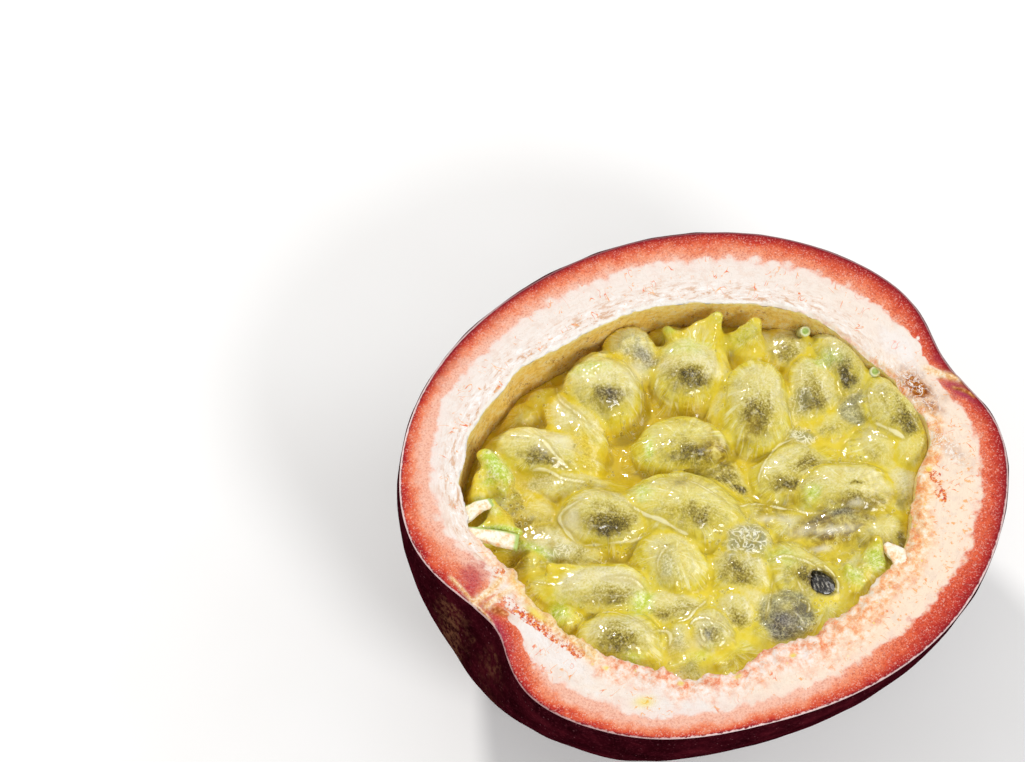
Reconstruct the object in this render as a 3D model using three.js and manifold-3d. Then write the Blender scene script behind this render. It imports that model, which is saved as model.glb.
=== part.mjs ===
// Half of a ripe purple passion fruit, cut lengthwise through its stem end and its tip.
// It lies on its back with the cut face up and level: a rind bowl, filled with a heap of arils,
// the juicy sacs that each hold one seed.
// Millimetres and degrees, +Z up. The tip is at +X and the stem end at -X. The origin is on the
// ground under the middle of the fruit. Angles round the cut face are counted from the tip towards +Y.

import * as THREE from 'three';
import { mergeVertices } from 'three/addons/utils/BufferGeometryUtils.js';
import Module from 'manifold-3d';

const wasm = await Module();
wasm.setup();

// ---- The rind ----
const HALF_LENGTH = 31.5; // from the middle to either pole, before the poles are dented
const HALF_WIDTH = 27.8; // the fruit is round about its long axis
const REST_RADIUS = 5; // the small flat spot that it rests on
const CUT_HEIGHT = Math.sqrt(HALF_WIDTH ** 2 - REST_RADIUS ** 2); // cut face above the ground
const WALL_BELOW = 6.5; // thickness of the rind at the bottom of the bowl
const LEAN = 2.2; // how far the bottom lies out of the middle
const LEAN_TURN = 130; // the direction in which it lies
const LIP_DROP = 0.4; // the soft inner edge of the cut face lies this much lower
const FIT_GAP = 0.3; // clear space between the rind and the pulp

// Dents at the poles: where they lie, how deep, and how far they spread to each side.
const DENTS = [
  { angle: 0, depth: 2.7, spreads: [9, 9] },
  { angle: 190, depth: 4, spreads: [12, 8] },
];

// How far the outline swells out of the smooth oval: [angle, millimetres].
const SWELLINGS = [
  [20, -0.3], [50, 0], [95, -0.1], [135, 0.3], [165, 0], [224, 0.6], [255, -0.4], [300, 0.2], [335, 0],
];

// Thickness of the rind at the cut face: [angle, millimetres]. It is thinnest beside the stem end.
const WALLS = [
  [0, 8.7], [12, 9.3], [34, 8.3], [50, 8.6], [80, 7.9], [102, 7.8], [123, 6.6], [143, 6.1], [165, 6.5],
  [180, 9.2], [205, 8.2], [237, 6.5], [258, 7.9], [285, 8.1], [310, 8.3], [330, 9.3], [346, 7.8],
];

// Ragged inner edge of the cut face: [waves round the fruit, millimetres]. It is smooth on the far side
// of the angle given, where the pulp has drawn back from it.
const LIP_WAVES = [[11, 0.24], [19, 0.2], [31, 0.14]];
const SMOOTH_LIP_ANGLE = 60;

// Stubs of cut seed threads that stick out of the rind beside the stem end:
// root and end on the cut face, and how far they lie below it.
const THREAD_STUBS = [
  { root: [-24.5, 5.6], end: [-19.7, 2.5], below: 1.9, radius: 0.9 },
  { root: [-24, 9], end: [-20.8, 7.2], below: 2.4, radius: 0.75 },
];

// ---- The pulp ----
const CORE_BELOW = 4.2; // juicy core under the arils, below the middle of the cut face
const CORE_SLOPE = 6; // degrees; the pulp has sunk on the +Y side, towards the stem end
const SINK_TURN = 110; // the direction in which it has sunk

// Arils that show: [x, y, how far the widest part lies below the cut face, length, width, turn].
const ARILS = [
  // along the wall, from the stem end over the +Y side to the tip
  [-19.5, 10, 4.5, 4.4, 3.4, 40], [-17, 12, 4.2, 5.4, 3.8, -90], [-12, 16, 5, 4.4, 3.4, 5],
  [-8.5, 17, 5, 3.8, 3.4, -10], [1.5, 17, 3.5, 7.2, 5.6, 80], [6.5, 18, 5, 3.8, 2.4, -25],
  [9.5, 16.5, 4.8, 6, 3, 15], [13.5, 12.5, 4.5, 5.8, 4.2, -20], [16.5, 10.5, 4.2, 5.6, 5, 85],
  [20.5, 6.5, 2.2, 8.8, 5.6, 70], [21.5, -2, 1.6, 9.6, 6.4, 85], [21, -6, 2, 5.8, 4.2, 60],
  // a second row inside it
  [-11.5, 6.5, 4, 11.2, 4.2, -35], [-12, 11, 3.2, 11.6, 5.4, -40], [-7.5, 12.5, 3.4, 8.8, 5.2, -85],
  [-3.5, 14.5, 2.8, 9, 8.4, -85], [5.5, 12.5, 3, 8.6, 7.8, 40], [7.5, 9, 4, 12, 3.8, 70],
  [16, 5, 3, 8.4, 5.6, 60], [20, 2.5, 3.6, 3.8, 3, -50], [16, 0.5, 4, 8.8, 4, -20],
  [18.5, -4.5, 2.8, 7, 5.8, -70],
  // the middle
  [9.5, 5.5, 2.2, 10.8, 7.2, 60], [0.5, 5, 2.2, 9.8, 6.6, -20], [-3, -1.5, 2, 12.8, 8, -40],
  [-10.5, 1.5, 2.6, 9.8, 7, -35], [3, 0, 4, 5.4, 4, -75], [13, 3.5, 3.8, 4.4, 2.8, 50],
  [11.5, 1, 3.8, 4, 2.6, -30], [9, -2.5, 3, 9, 6.2, 5], [12.5, -7.5, 1.8, 10.8, 6.4, -30],
  [2.5, -4.5, 3.4, 5.4, 3.4, -25], [0.5, -7.5, 1.8, 5.4, 5, 10], [-7, -6, 2.5, 8.2, 6.4, -80],
  [-1.5, -10, 2.6, 7.8, 5.8, -85], [11, -10.5, 3, 10.6, 4.4, -25], [5.5, -7.5, 3.2, 5, 3.4, -25],
  // the -Y side, where the pulp comes up to the cut face
  [-17, 6.5, 4.6, 8.4, 5, -45], [-16, 1, 4.2, 9.2, 4.6, -45], [-19.5, 0, 4, 3.8, 3.2, -85],
  [-19.5, -3, 3.2, 4.2, 3.4, -55], [-15, -5.5, 2.2, 10.8, 5.6, -25], [-19, -6, 3, 4, 3, 0],
  [-16, -11, 2.2, 8.6, 5.8, -30], [-9.5, -10.5, 3, 8, 4.4, -40], [-10.5, -14, 2.6, 4.2, 3.8, 35],
  [-11, -16.5, 2.6, 3.6, 3.2, -15], [-7.5, -14.5, 1.8, 5.2, 4.6, -85], [-4.5, -14, 2.6, 5.6, 4.4, 80],
  [-7, -17.5, 2.6, 6.8, 3.2, -15], [-4, -17, 2.4, 3.4, 2.2, -35], [-2.5, -13, 3, 5.2, 4.8, -10],
  [3.5, -13.5, 2.1, 8.8, 5.8, -70], [3.5, -18, 2.4, 5.4, 3.4, 65], [8.5, -11.5, 4, 7.2, 3.4, -30],
  [13, -12.5, 2.4, 5.2, 4.4, -20], [17.5, -9.5, 2.6, 7.4, 4.4, 50], [8.5, -15.8, 2.2, 6.8, 4.2, 20],
];

// Bare seeds that lie between the arils, in the same order of numbers.
const SEEDS = [
  [19, 0.5, 2.4, 4, 2.2, -40], [4.8, -15, 1.2, 3.8, 2.8, -60], [0, -16.3, 1.8, 5, 4.2, -70],
];

// Pointed green shreds of torn arils: [x, y, how far the point lies below the cut face, height, width].
const SHREDS = [
  [10.6, 15.9, 1.9, 5, 3.6], [14, 13.5, 2.2, 4.5, 3.2], [10.2, -16, 0.7, 4, 4.2], [7.6, -15.6, 1, 3.4, 2.6],
];

// ---- Smooth numbers round the fruit ----
const radians = THREE.MathUtils.degToRad;

// Value at an angle of a list of [angle, value] that closes round the circle.
function roundValue(list, angle) {
  const turn = THREE.MathUtils.euclideanModulo(angle, 360);
  const next = list.findIndex(([stop]) => stop > turn);
  const after = next < 0 ? [list[0][0] + 360, list[0][1]] : list[next];
  const before = next < 0 ? list[list.length - 1] : list[(next + list.length - 1) % list.length];
  const start = before[0] > after[0] ? before[0] - 360 : before[0];
  return THREE.MathUtils.lerp(before[1], after[1], THREE.MathUtils.smoothstep(turn, start, after[0]));
}

// Unit vector at an angle round the cut face, tipped down from it by the other angle.
function direction(angle, down) {
  const level = Math.cos(radians(down));
  return new THREE.Vector3(
    level * Math.cos(radians(angle)), level * Math.sin(radians(angle)), -Math.sin(radians(down)));
}

function ovalRadius(ray) {
  return 1 / Math.hypot(ray.x / HALF_LENGTH, ray.y / HALF_WIDTH, ray.z / HALF_WIDTH);
}

function dentDepth(dent, ray, angle) {
  const off = THREE.MathUtils.radToDeg(ray.angleTo(direction(dent.angle, 0)));
  const turn = THREE.MathUtils.euclideanModulo(angle - dent.angle + 180, 360) - 180;
  const side = THREE.MathUtils.smoothstep(turn, -8, 8);
  return dent.depth * Math.exp(-0.5 * (off / THREE.MathUtils.lerp(...dent.spreads, side)) ** 2);
}

function skinRadius(angle, down) {
  const ray = direction(angle, down);
  const swelling = roundValue(SWELLINGS, angle) * Math.cos(radians(down));
  const dents = DENTS.reduce((sum, dent) => sum + dentDepth(dent, ray, angle), 0);
  return ovalRadius(ray) + swelling - dents;
}

function cavityRadius(angle, down) {
  const wall = THREE.MathUtils.lerp(roundValue(WALLS, angle), WALL_BELOW, Math.sin(radians(down)));
  const roughness = 0.55 - 0.45 * Math.cos(radians(angle - SMOOTH_LIP_ANGLE));
  const ragged = LIP_WAVES.reduce(
    (sum, [waves, size]) => sum + size * Math.sin(radians(waves * angle) + waves), 0);
  return ovalRadius(direction(angle, down)) - wall + roughness * ragged * Math.cos(radians(down)) ** 8;
}

// ---- Closed meshes and solids ----

// Closed geometry through rings of points with the same count, from a first point to a last one.
// Both ends close with a fan.
function closedRings(first, rings, last) {
  const count = rings[0].length;
  const points = [first, ...rings.flat(), last];
  const index = [];
  for (let step = 0; step < count; step += 1) {
    const beside = (step + 1) % count;
    index.push(0, 1 + step, 1 + beside);
    for (let ring = 0; ring + 1 < rings.length; ring += 1) {
      const here = 1 + ring * count;
      const below = here + count;
      index.push(here + step, below + step, below + beside, here + step, below + beside, here + beside);
    }
    const bottom = 1 + (rings.length - 1) * count;
    index.push(points.length - 1, bottom + beside, bottom + step);
  }
  const geometry = new THREE.BufferGeometry().setFromPoints(points);
  geometry.setIndex(index);
  return geometry;
}

function solid(geometry) {
  const bare = geometry.clone();
  bare.deleteAttribute('normal');
  bare.deleteAttribute('uv');
  const merged = mergeVertices(bare, 1e-4);
  return new wasm.Manifold(new wasm.Mesh({
    numProp: 3,
    vertProperties: new Float32Array(merged.attributes.position.array),
    triVerts: new Uint32Array(merged.index.array),
  }));
}

function geometryOf(body) {
  const mesh = body.getMesh();
  const geometry = new THREE.BufferGeometry();
  geometry.setAttribute('position', new THREE.BufferAttribute(new Float32Array(mesh.vertProperties), 3));
  geometry.setIndex(new THREE.BufferAttribute(new Uint32Array(mesh.triVerts), 1));
  geometry.computeVertexNormals();
  return geometry;
}

function joined(solids) {
  return solids.reduce((whole, next) => whole.add(next));
}

// The largest skin of a fused body: sealed hollows are filled and loose scraps are dropped.
function largestPiece(body) {
  return body.decompose().sort((one, other) => other.volume() - one.volume())[0];
}

// ---- The rind: skin, red layer and white pith in one piece ----
const STEPS_ROUND = 80;
const SKIN_RINGS = 11;
const CAVITY_RINGS = 8;

function ringOf(point) {
  return Array.from({ length: STEPS_ROUND }, (_, step) => point((360 * step) / STEPS_ROUND));
}

// How far the fruit leans out of the middle, at an angle down from the cut face.
function lean(down) {
  return direction(LEAN_TURN, 0).multiplyScalar(LEAN * Math.sin(radians(down)));
}

function onFruit(angle, down, radius) {
  return direction(angle, down).multiplyScalar(radius).add(lean(down)).add(new THREE.Vector3(0, 0, CUT_HEIGHT));
}

function skinRings() {
  const lowest = 90 - THREE.MathUtils.radToDeg(Math.asin(REST_RADIUS / HALF_WIDTH));
  const rings = Array.from({ length: SKIN_RINGS }, (_, ring) => {
    const down = (lowest * ring) / SKIN_RINGS;
    return ringOf((angle) => onFruit(angle, down, skinRadius(angle, down)));
  });
  const foot = ringOf((angle) => direction(angle, 0).multiplyScalar(REST_RADIUS).add(lean(90)));
  return [...rings, foot];
}

// Rings of the cavity from the cut face down, drawn in by a clear gap.
function cavityRings(gap) {
  return Array.from({ length: CAVITY_RINGS }, (_, ring) => {
    const down = (88 * ring) / CAVITY_RINGS;
    return ringOf((angle) => onFruit(angle, down, cavityRadius(angle, down) - gap));
  });
}

// The cut face between skin and cavity: the pith stands a little proud and its inner edge sinks.
function cutFaceRings() {
  return [[0.12, 0], [0.5, 0.12], [0.9, -0.1]].map(([share, rise]) => ringOf((angle) => {
    const radius = THREE.MathUtils.lerp(skinRadius(angle, 0), cavityRadius(angle, 0), share);
    return onFruit(angle, 0, radius).add(new THREE.Vector3(0, 0, rise));
  }));
}

function threadStub({ root, end, below, radius }, extra) {
  const from = new THREE.Vector3(root[0], root[1], CUT_HEIGHT - below);
  const to = new THREE.Vector3(end[0], end[1], CUT_HEIGHT - below);
  const along = to.clone().sub(from);
  const bar = new THREE.CylinderGeometry(radius + extra, radius + extra, along.length() + 2 * extra, 8);
  bar.applyQuaternion(new THREE.Quaternion().setFromUnitVectors(
    new THREE.Vector3(0, 1, 0), along.clone().normalize()));
  bar.translate(...from.lerp(to, 0.5).toArray());
  return solid(bar);
}

function rind() {
  const lip = cavityRings(0);
  lip[0].forEach((point) => { point.z -= LIP_DROP; });
  const cavityFloor = onFruit(0, 90, cavityRadius(0, 90));
  const inner = [...cutFaceRings(), ...lip];
  const rings = [...skinRings().reverse(), ...inner];
  const bowl = solid(closedRings(lean(90), rings.map((ring) => ring.slice().reverse()), cavityFloor));
  return joined([bowl, ...THREAD_STUBS.map((stub) => threadStub(stub, 0))]);
}

// ---- The pulp: a core that fills the cavity, with the arils fused on ----
const HEADROOM = 1.5; // how far above the cut face the pulp is still trimmed to the cavity

// The space that the pulp may fill, with straight sides above the cut face.
function room() {
  const rings = cavityRings(FIT_GAP);
  const top = rings[0].map((point) => point.clone().add(new THREE.Vector3(0, 0, HEADROOM)));
  const space = solid(closedRings(new THREE.Vector3(0, 0, CUT_HEIGHT + HEADROOM), [top, ...rings],
    onFruit(0, 90, cavityRadius(0, 90) - FIT_GAP)));
  return THREAD_STUBS.reduce((left, stub) => left.subtract(threadStub(stub, FIT_GAP)), space);
}

function core() {
  const size = 2 * HALF_LENGTH;
  const block = new THREE.BoxGeometry(size, size, size);
  block.translate(0, 0, -size / 2);
  block.rotateY(radians(CORE_SLOPE));
  block.rotateZ(radians(SINK_TURN));
  block.translate(0, 0, CUT_HEIGHT - CORE_BELOW);
  return solid(block);
}

// An egg shape that lies flat: its widest part is at the given depth below the cut face.
function egg([x, y, below, length, width, turn], [sides, bands]) {
  const shape = new THREE.SphereGeometry(0.5, sides, bands);
  shape.scale(length, width, width * 0.9);
  shape.rotateZ(radians(turn));
  shape.translate(x, y, CUT_HEIGHT - below - width * 0.2);
  return solid(shape);
}

function shred([x, y, below, height, width]) {
  const shape = new THREE.ConeGeometry(width / 2, height, 7);
  shape.rotateX(radians(90));
  shape.translate(x, y, CUT_HEIGHT - below - height / 2);
  return solid(shape);
}

function pulp() {
  const arils = ARILS.map((numbers) => egg(numbers, [10, 6]));
  const seeds = SEEDS.map((numbers) => egg(numbers, [8, 5]));
  return largestPiece(joined([core(), ...arils, ...seeds, ...SHREDS.map(shred)]).intersect(room()));
}

// ---- The finished half ----
const rindMaterial = new THREE.MeshStandardMaterial({ color: 0x5e1a2b, roughness: 0.45, metalness: 0 });
const pulpMaterial = new THREE.MeshStandardMaterial({ color: 0xb9b440, roughness: 0.2, metalness: 0 });

function namedMesh(name, body, material) {
  const mesh = new THREE.Mesh(geometryOf(body), material);
  mesh.name = name;
  return mesh;
}

const fruitHalf = new THREE.Group();
fruitHalf.add(namedMesh('rind_and_pith', rind(), rindMaterial));
fruitHalf.add(namedMesh('pulp', pulp(), pulpMaterial));

export default fruitHalf;
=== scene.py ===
"""Looks of the passion fruit half: its rind with the cut face, the pulp of arils and the bare seeds."""

import math

import bpy
import numpy as np
from mathutils import Matrix, Vector


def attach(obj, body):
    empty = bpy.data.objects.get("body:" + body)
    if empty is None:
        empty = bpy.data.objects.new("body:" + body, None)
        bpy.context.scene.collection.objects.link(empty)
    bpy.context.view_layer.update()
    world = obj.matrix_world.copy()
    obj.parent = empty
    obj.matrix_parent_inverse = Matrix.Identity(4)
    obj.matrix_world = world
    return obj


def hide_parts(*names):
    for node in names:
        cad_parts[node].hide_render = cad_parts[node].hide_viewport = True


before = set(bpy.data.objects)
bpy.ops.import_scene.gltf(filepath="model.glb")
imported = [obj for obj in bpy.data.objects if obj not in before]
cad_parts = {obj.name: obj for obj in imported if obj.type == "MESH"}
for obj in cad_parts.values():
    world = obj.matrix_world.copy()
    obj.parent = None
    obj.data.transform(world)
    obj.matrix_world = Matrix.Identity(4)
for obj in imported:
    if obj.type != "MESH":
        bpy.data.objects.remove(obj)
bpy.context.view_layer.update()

MM = 0.001  # the scene is in metres, the numbers below are in millimetres and degrees

# ---- Sizes of the solid, as in the part's source ----
HALF_LENGTH = 31.5
HALF_WIDTH = 27.8
REST_RADIUS = 5.0
CUT_HEIGHT = math.sqrt(HALF_WIDTH ** 2 - REST_RADIUS ** 2)
WALL_BELOW = 6.5
LEAN = 2.2
LEAN_TURN = 130.0
LIP_DROP = 0.4
DENTS = [(0.0, 2.7, 9.0, 9.0), (190.0, 4.0, 12.0, 8.0)]  # angle, depth, spread to each side
SWELLINGS = [
    (20, -0.3), (50, 0), (95, -0.1), (135, 0.3), (165, 0), (224, 0.6), (255, -0.4), (300, 0.2), (335, 0),
]
WALLS = [
    (0, 8.7), (12, 9.3), (34, 8.3), (50, 8.6), (80, 7.9), (102, 7.8), (123, 6.6), (143, 6.1), (165, 6.5),
    (180, 9.2), (205, 8.2), (237, 6.5), (258, 7.9), (285, 8.1), (310, 8.3), (330, 9.3), (346, 7.8),
]
LIP_WAVES = [(11, 0.24), (19, 0.2), (31, 0.14)]
SMOOTH_LIP_ANGLE = 60.0
CORE_BELOW = 4.2
CORE_SLOPE = 6.0
SINK_TURN = 110.0

# Arils that show: x, y, depth below the cut face, length, width, turn. The middle of an aril lies deeper
# than that by a fifth of its width.
ARILS = [
    # along the wall, from the stem end over the +Y side to the tip
    (-19.5, 10, 4.5, 4.4, 3.4, 40), (-17, 12, 4.2, 5.4, 3.8, -90), (-12, 16, 5, 4.4, 3.4, 5),
    (-8.5, 17, 5, 3.8, 3.4, -10), (1.5, 17, 3.5, 7.2, 5.6, 80), (6.5, 18, 5, 3.8, 2.4, -25),
    (9.5, 16.5, 4.8, 6, 3, 15), (13.5, 12.5, 4.5, 5.8, 4.2, -20), (16.5, 10.5, 4.2, 5.6, 5, 85),
    (20.5, 6.5, 2.2, 8.8, 5.6, 70), (21.5, -2, 1.6, 9.6, 6.4, 85), (21, -6, 2, 5.8, 4.2, 60),
    # a second row inside it
    (-11.5, 6.5, 4, 11.2, 4.2, -35), (-12, 11, 3.2, 11.6, 5.4, -40), (-7.5, 12.5, 3.4, 8.8, 5.2, -85),
    (-3.5, 14.5, 2.8, 9, 8.4, -85), (5.5, 12.5, 3, 8.6, 7.8, 40), (7.5, 9, 4, 12, 3.8, 70),
    (16, 5, 3, 8.4, 5.6, 60), (20, 2.5, 3.6, 3.8, 3, -50), (16, 0.5, 4, 8.8, 4, -20),
    (18.5, -4.5, 2.8, 7, 5.8, -70),
    # the middle
    (9.5, 5.5, 2.2, 10.8, 7.2, 60), (0.5, 5, 2.2, 9.8, 6.6, -20), (-3, -1.5, 2, 12.8, 8, -40),
    (-10.5, 1.5, 2.6, 9.8, 7, -35), (3, 0, 4, 5.4, 4, -75), (13, 3.5, 3.8, 4.4, 2.8, 50),
    (11.5, 1, 3.8, 4, 2.6, -30), (9, -2.5, 3, 9, 6.2, 5), (12.5, -7.5, 1.8, 10.8, 6.4, -30),
    (2.5, -4.5, 3.4, 5.4, 3.4, -25), (0.5, -7.5, 1.8, 5.4, 5, 10), (-7, -6, 2.5, 8.2, 6.4, -80),
    (-1.5, -10, 2.6, 7.8, 5.8, -85), (11, -10.5, 3, 10.6, 4.4, -25), (5.5, -7.5, 3.2, 5, 3.4, -25),
    # the -Y side, where the pulp comes up to the cut face
    (-17, 6.5, 4.6, 8.4, 5, -45), (-16, 1, 4.2, 9.2, 4.6, -45), (-19.5, 0, 4, 3.8, 3.2, -85),
    (-19.5, -3, 3.2, 4.2, 3.4, -55), (-15, -5.5, 2.2, 10.8, 5.6, -25), (-19, -6, 3, 4, 3, 0),
    (-16, -11, 2.2, 8.6, 5.8, -30), (-9.5, -10.5, 3, 8, 4.4, -40), (-10.5, -14, 2.6, 4.2, 3.8, 35),
    (-11, -16.5, 2.6, 3.6, 3.2, -15), (-7.5, -14.5, 1.8, 5.2, 4.6, -85), (-4.5, -14, 2.6, 5.6, 4.4, 80),
    (-7, -17.5, 2.6, 6.8, 3.2, -15), (-4, -17, 2.4, 3.4, 2.2, -35), (-2.5, -13, 3, 5.2, 4.8, -10),
    (3.5, -13.5, 2.1, 8.8, 5.8, -70), (3.5, -18, 2.4, 5.4, 3.4, 65), (8.5, -11.5, 4, 7.2, 3.4, -30),
    (13, -12.5, 2.4, 5.2, 4.4, -20), (17.5, -9.5, 2.6, 7.4, 4.4, 50), (8.5, -15.8, 2.2, 6.8, 4.2, 20),
]

# ---- Smooth numbers round the fruit ----


def smooth(share):
    """Smooth step of numbers that are cut off at 0 and 1."""
    share = np.clip(share, 0.0, 1.0)
    return share * share * (3.0 - 2.0 * share)


def round_value(stations, angle):
    """Value at an angle of a closed list of (angle, value), with smooth steps between them."""
    first, value = stations[0]
    stops, values = np.array([*stations, (first + 360.0, value)]).T
    turn = (angle - stops[0]) % 360.0 + stops[0]
    low = np.clip(np.searchsorted(stops, turn, side="right") - 1, 0, len(stops) - 2)
    share = (turn - stops[low]) / (stops[low + 1] - stops[low])
    return values[low] + (values[low + 1] - values[low]) * smooth(share)


def full_turn(steps):
    return np.arange(steps) * 360.0 / steps


def direction(angle, down):
    """Unit vectors at an angle round the cut face, tipped down from it by the other angle."""
    angle, down = np.radians(angle), np.radians(down)
    level = np.cos(down)
    return np.stack([level * np.cos(angle), level * np.sin(angle), -np.sin(down) + 0 * angle], -1)


def oval_radius(ray):
    return 1.0 / np.sqrt(
        (ray[..., 0] / HALF_LENGTH) ** 2 + (ray[..., 1] / HALF_WIDTH) ** 2 + (ray[..., 2] / HALF_WIDTH) ** 2)


def skin_radius(angle, down):
    ray = direction(angle, down)
    radius = oval_radius(ray) + round_value(SWELLINGS, angle) * np.cos(np.radians(down))
    for dent_angle, depth, spread_before, spread_after in DENTS:
        off = np.degrees(np.arccos(np.clip(ray @ direction(dent_angle, 0.0), -1, 1)))
        turn = (angle - dent_angle + 180.0) % 360.0 - 180.0
        spread = spread_before + (spread_after - spread_before) * smooth((turn + 8.0) / 16.0)
        radius = radius - depth * np.exp(-0.5 * (off / spread) ** 2)
    return radius


def cavity_radius(angle, down):
    sine = np.sin(np.radians(down))
    wall = round_value(WALLS, angle) * (1 - sine) + WALL_BELOW * sine
    roughness = 0.55 - 0.45 * np.cos(np.radians(angle - SMOOTH_LIP_ANGLE))
    ragged = sum(size * np.sin(np.radians(waves * angle) + waves) for waves, size in LIP_WAVES)
    return oval_radius(direction(angle, down)) - wall + roughness * ragged * np.cos(np.radians(down)) ** 8


def lean(down):
    sine = np.sin(np.radians(down))
    turn = math.radians(LEAN_TURN)
    return np.stack([LEAN * math.cos(turn) * sine, LEAN * math.sin(turn) * sine, 0 * sine], -1)


def on_fruit(angle, down, radius):
    """Points of the fruit in millimetres."""
    down = down + 0 * angle
    return direction(angle, down) * radius[..., None] + lean(down) + np.array([0, 0, CUT_HEIGHT])


# ---- Noise for shapes ----


def lattice_noise(points, seed):
    """Smooth noise from -1 to 1 at points of any unit, one lump per unit."""
    table = np.random.default_rng(seed).uniform(-1, 1, 4096)
    cell = np.floor(points).astype(np.int64)
    share = smooth(points - cell)
    total = 0.0
    for corner in range(8):
        step = np.array([corner & 1, corner >> 1 & 1, corner >> 2])
        key = (cell + step) @ np.array([73856093, 19349663, 83492791])
        weight = np.prod(np.where(step, share, 1 - share), axis=-1)
        total = total + weight * table[(key ^ (key >> 13)) & 4095]
    return total


def layered_noise(points, seed, layers=3):
    return sum(lattice_noise(points * 2.1 ** layer, seed + layer) * 0.5 ** layer for layer in range(layers))


def crests(points, seed):
    """Noise that is 1 along thin lines and falls to -1 between them."""
    return 1.0 - 2.0 * np.abs(lattice_noise(points, seed))


# ---- Objects from arrays ----


def new_object(name, points_mm, faces, attributes=None):
    """A smooth mesh object. attributes maps a name to one number or one vector for each point."""
    mesh = bpy.data.meshes.new(name)
    mesh.from_pydata(np.asarray(points_mm, np.float32) * MM, [], faces)
    mesh.polygons.foreach_set("use_smooth", np.ones(len(faces), bool))
    mesh.validate()
    for key, values in (attributes or {}).items():
        values = np.asarray(values, np.float32)
        kind, field = ("FLOAT_VECTOR", "vector") if values.ndim == 2 else ("FLOAT", "value")
        mesh.attributes.new(key, kind, "POINT").data.foreach_set(field, values.ravel())
    piece = bpy.data.objects.new(name, mesh)
    bpy.context.scene.collection.objects.link(piece)
    return piece


def ring_faces(rings, steps):
    """Faces of a closed body of rings with a fan at both ends: the first and the last point are the tips."""
    ring, step = np.meshgrid(np.arange(rings - 1), np.arange(steps), indexing="ij")
    beside = (step + 1) % steps
    here, below = 1 + ring * steps, 1 + (ring + 1) * steps
    quads = np.stack([here + step, here + beside, below + beside, below + step], -1).reshape(-1, 4)
    step, beside = step[0], beside[0]
    first = np.stack([0 * step, 1 + beside, 1 + step], -1)
    bottom = 1 + (rings - 1) * steps
    last = np.stack([0 * step + 1 + rings * steps, bottom + step, bottom + beside], -1)
    return list(quads) + list(first) + list(last)


def joined(bodies, steps):
    """Points and faces of closed bodies, each given by its points and 1, or -1 to turn its faces round."""
    faces, start = [], 0
    for points, turned in bodies:
        rings = (len(points) - 2) // steps
        faces += [[corner + start for corner in face[::turned]] for face in ring_faces(rings, steps)]
        start += len(points)
    return np.concatenate([points for points, _ in bodies]), faces


# ---- Material helper ----


class Value:
    """A number that a node puts out. Arithmetic on it adds math nodes."""

    def __init__(self, shader, socket):
        self.shader = shader
        self.socket = socket

    def __add__(self, other):
        return self.shader.math("ADD", self, other)

    def __sub__(self, other):
        return self.shader.math("SUBTRACT", self, other)

    def __mul__(self, other):
        return self.shader.math("MULTIPLY", self, other)

    def __abs__(self):
        return self.shader.math("ABSOLUTE", self)

    def clamped(self):
        """The number cut off at 0 and 1."""
        self.socket.node.use_clamp = True
        return self


class Shader:
    """Builds one node material. Numbers, colours, sockets and values can be mixed freely as inputs."""

    def __init__(self, name):
        self.material = bpy.data.materials.new(name)
        self.material.use_nodes = True
        self.tree = self.material.node_tree
        self.surface = self.tree.nodes["Principled BSDF"]

    def put(self, socket, value):
        if isinstance(value, Value):
            value = value.socket
        if isinstance(value, bpy.types.NodeSocket):
            self.tree.links.new(value, socket)
        else:
            socket.default_value = colour(value) if isinstance(value, str) else value

    def node(self, kind, inputs=(), **settings):
        made = self.tree.nodes.new(kind)
        for key, value in settings.items():
            setattr(made, key, value)
        for key, value in dict(inputs).items():
            self.put(made.inputs[key], value)
        return made

    def math(self, operation, first, second=0.0):
        return Value(self, self.node("ShaderNodeMath", {0: first, 1: second}, operation=operation).outputs[0])

    def mix(self, share, first, second, blend="MIX"):
        made = self.node("ShaderNodeMix", {0: share, 6: first, 7: second}, data_type="RGBA", blend_type=blend)
        return made.outputs[2]

    def mark(self, name):
        """An amount that the mesh carries at each point."""
        return Value(self, self.node("ShaderNodeAttribute", attribute_name=name).outputs["Fac"])

    def place(self, name="mm", factors=None):
        """A place that the mesh carries at each point, stretched by three factors where they are given."""
        place = self.node("ShaderNodeAttribute", attribute_name=name).outputs["Vector"]
        if factors:
            place = self.node("ShaderNodeVectorMath", {0: place, 1: factors}, operation="MULTIPLY").outputs[0]
        return place

    def noise(self, place, scale, detail=2.0, roughness=0.5, distortion=0.0):
        inputs = {"Scale": scale, "Detail": detail, "Roughness": roughness, "Distortion": distortion}
        return Value(self, self.node("ShaderNodeTexNoise", {"Vector": place, **inputs}).outputs["Fac"])

    def cells(self, place, scale):
        """Distance from the nearest of scattered points."""
        made = self.node("ShaderNodeTexVoronoi", {"Vector": place, "Scale": scale})
        return Value(self, made.outputs["Distance"])

    def step(self, value, low, high):
        """0 below low and 1 above high, smooth between them; low may lie above high."""
        inputs = {"Value": value, "From Min": low, "From Max": high}
        made = self.node("ShaderNodeMapRange", inputs, interpolation_type="SMOOTHSTEP")
        return Value(self, made.outputs["Result"])

    def ramp(self, value, *stops):
        """Colour at a value between stops, each a place and a colour."""
        made = self.node("ShaderNodeValToRGB", {"Fac": value})
        elements = made.color_ramp.elements
        while len(elements) < len(stops):
            elements.new(0.5)
        for element, (place, shade) in zip(elements, stops):
            element.position = place
            element.color = colour(shade)
        return made.outputs["Color"]

    def bump(self, height, distance_mm):
        made = self.node("ShaderNodeBump", {"Height": height, "Distance": distance_mm * MM, "Strength": 1.0})
        return made.outputs["Normal"]

    def finish(self, **inputs):
        for key, value in inputs.items():
            self.put(self.surface.inputs[key.replace("_", " ")], value)
        return self.material


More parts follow.
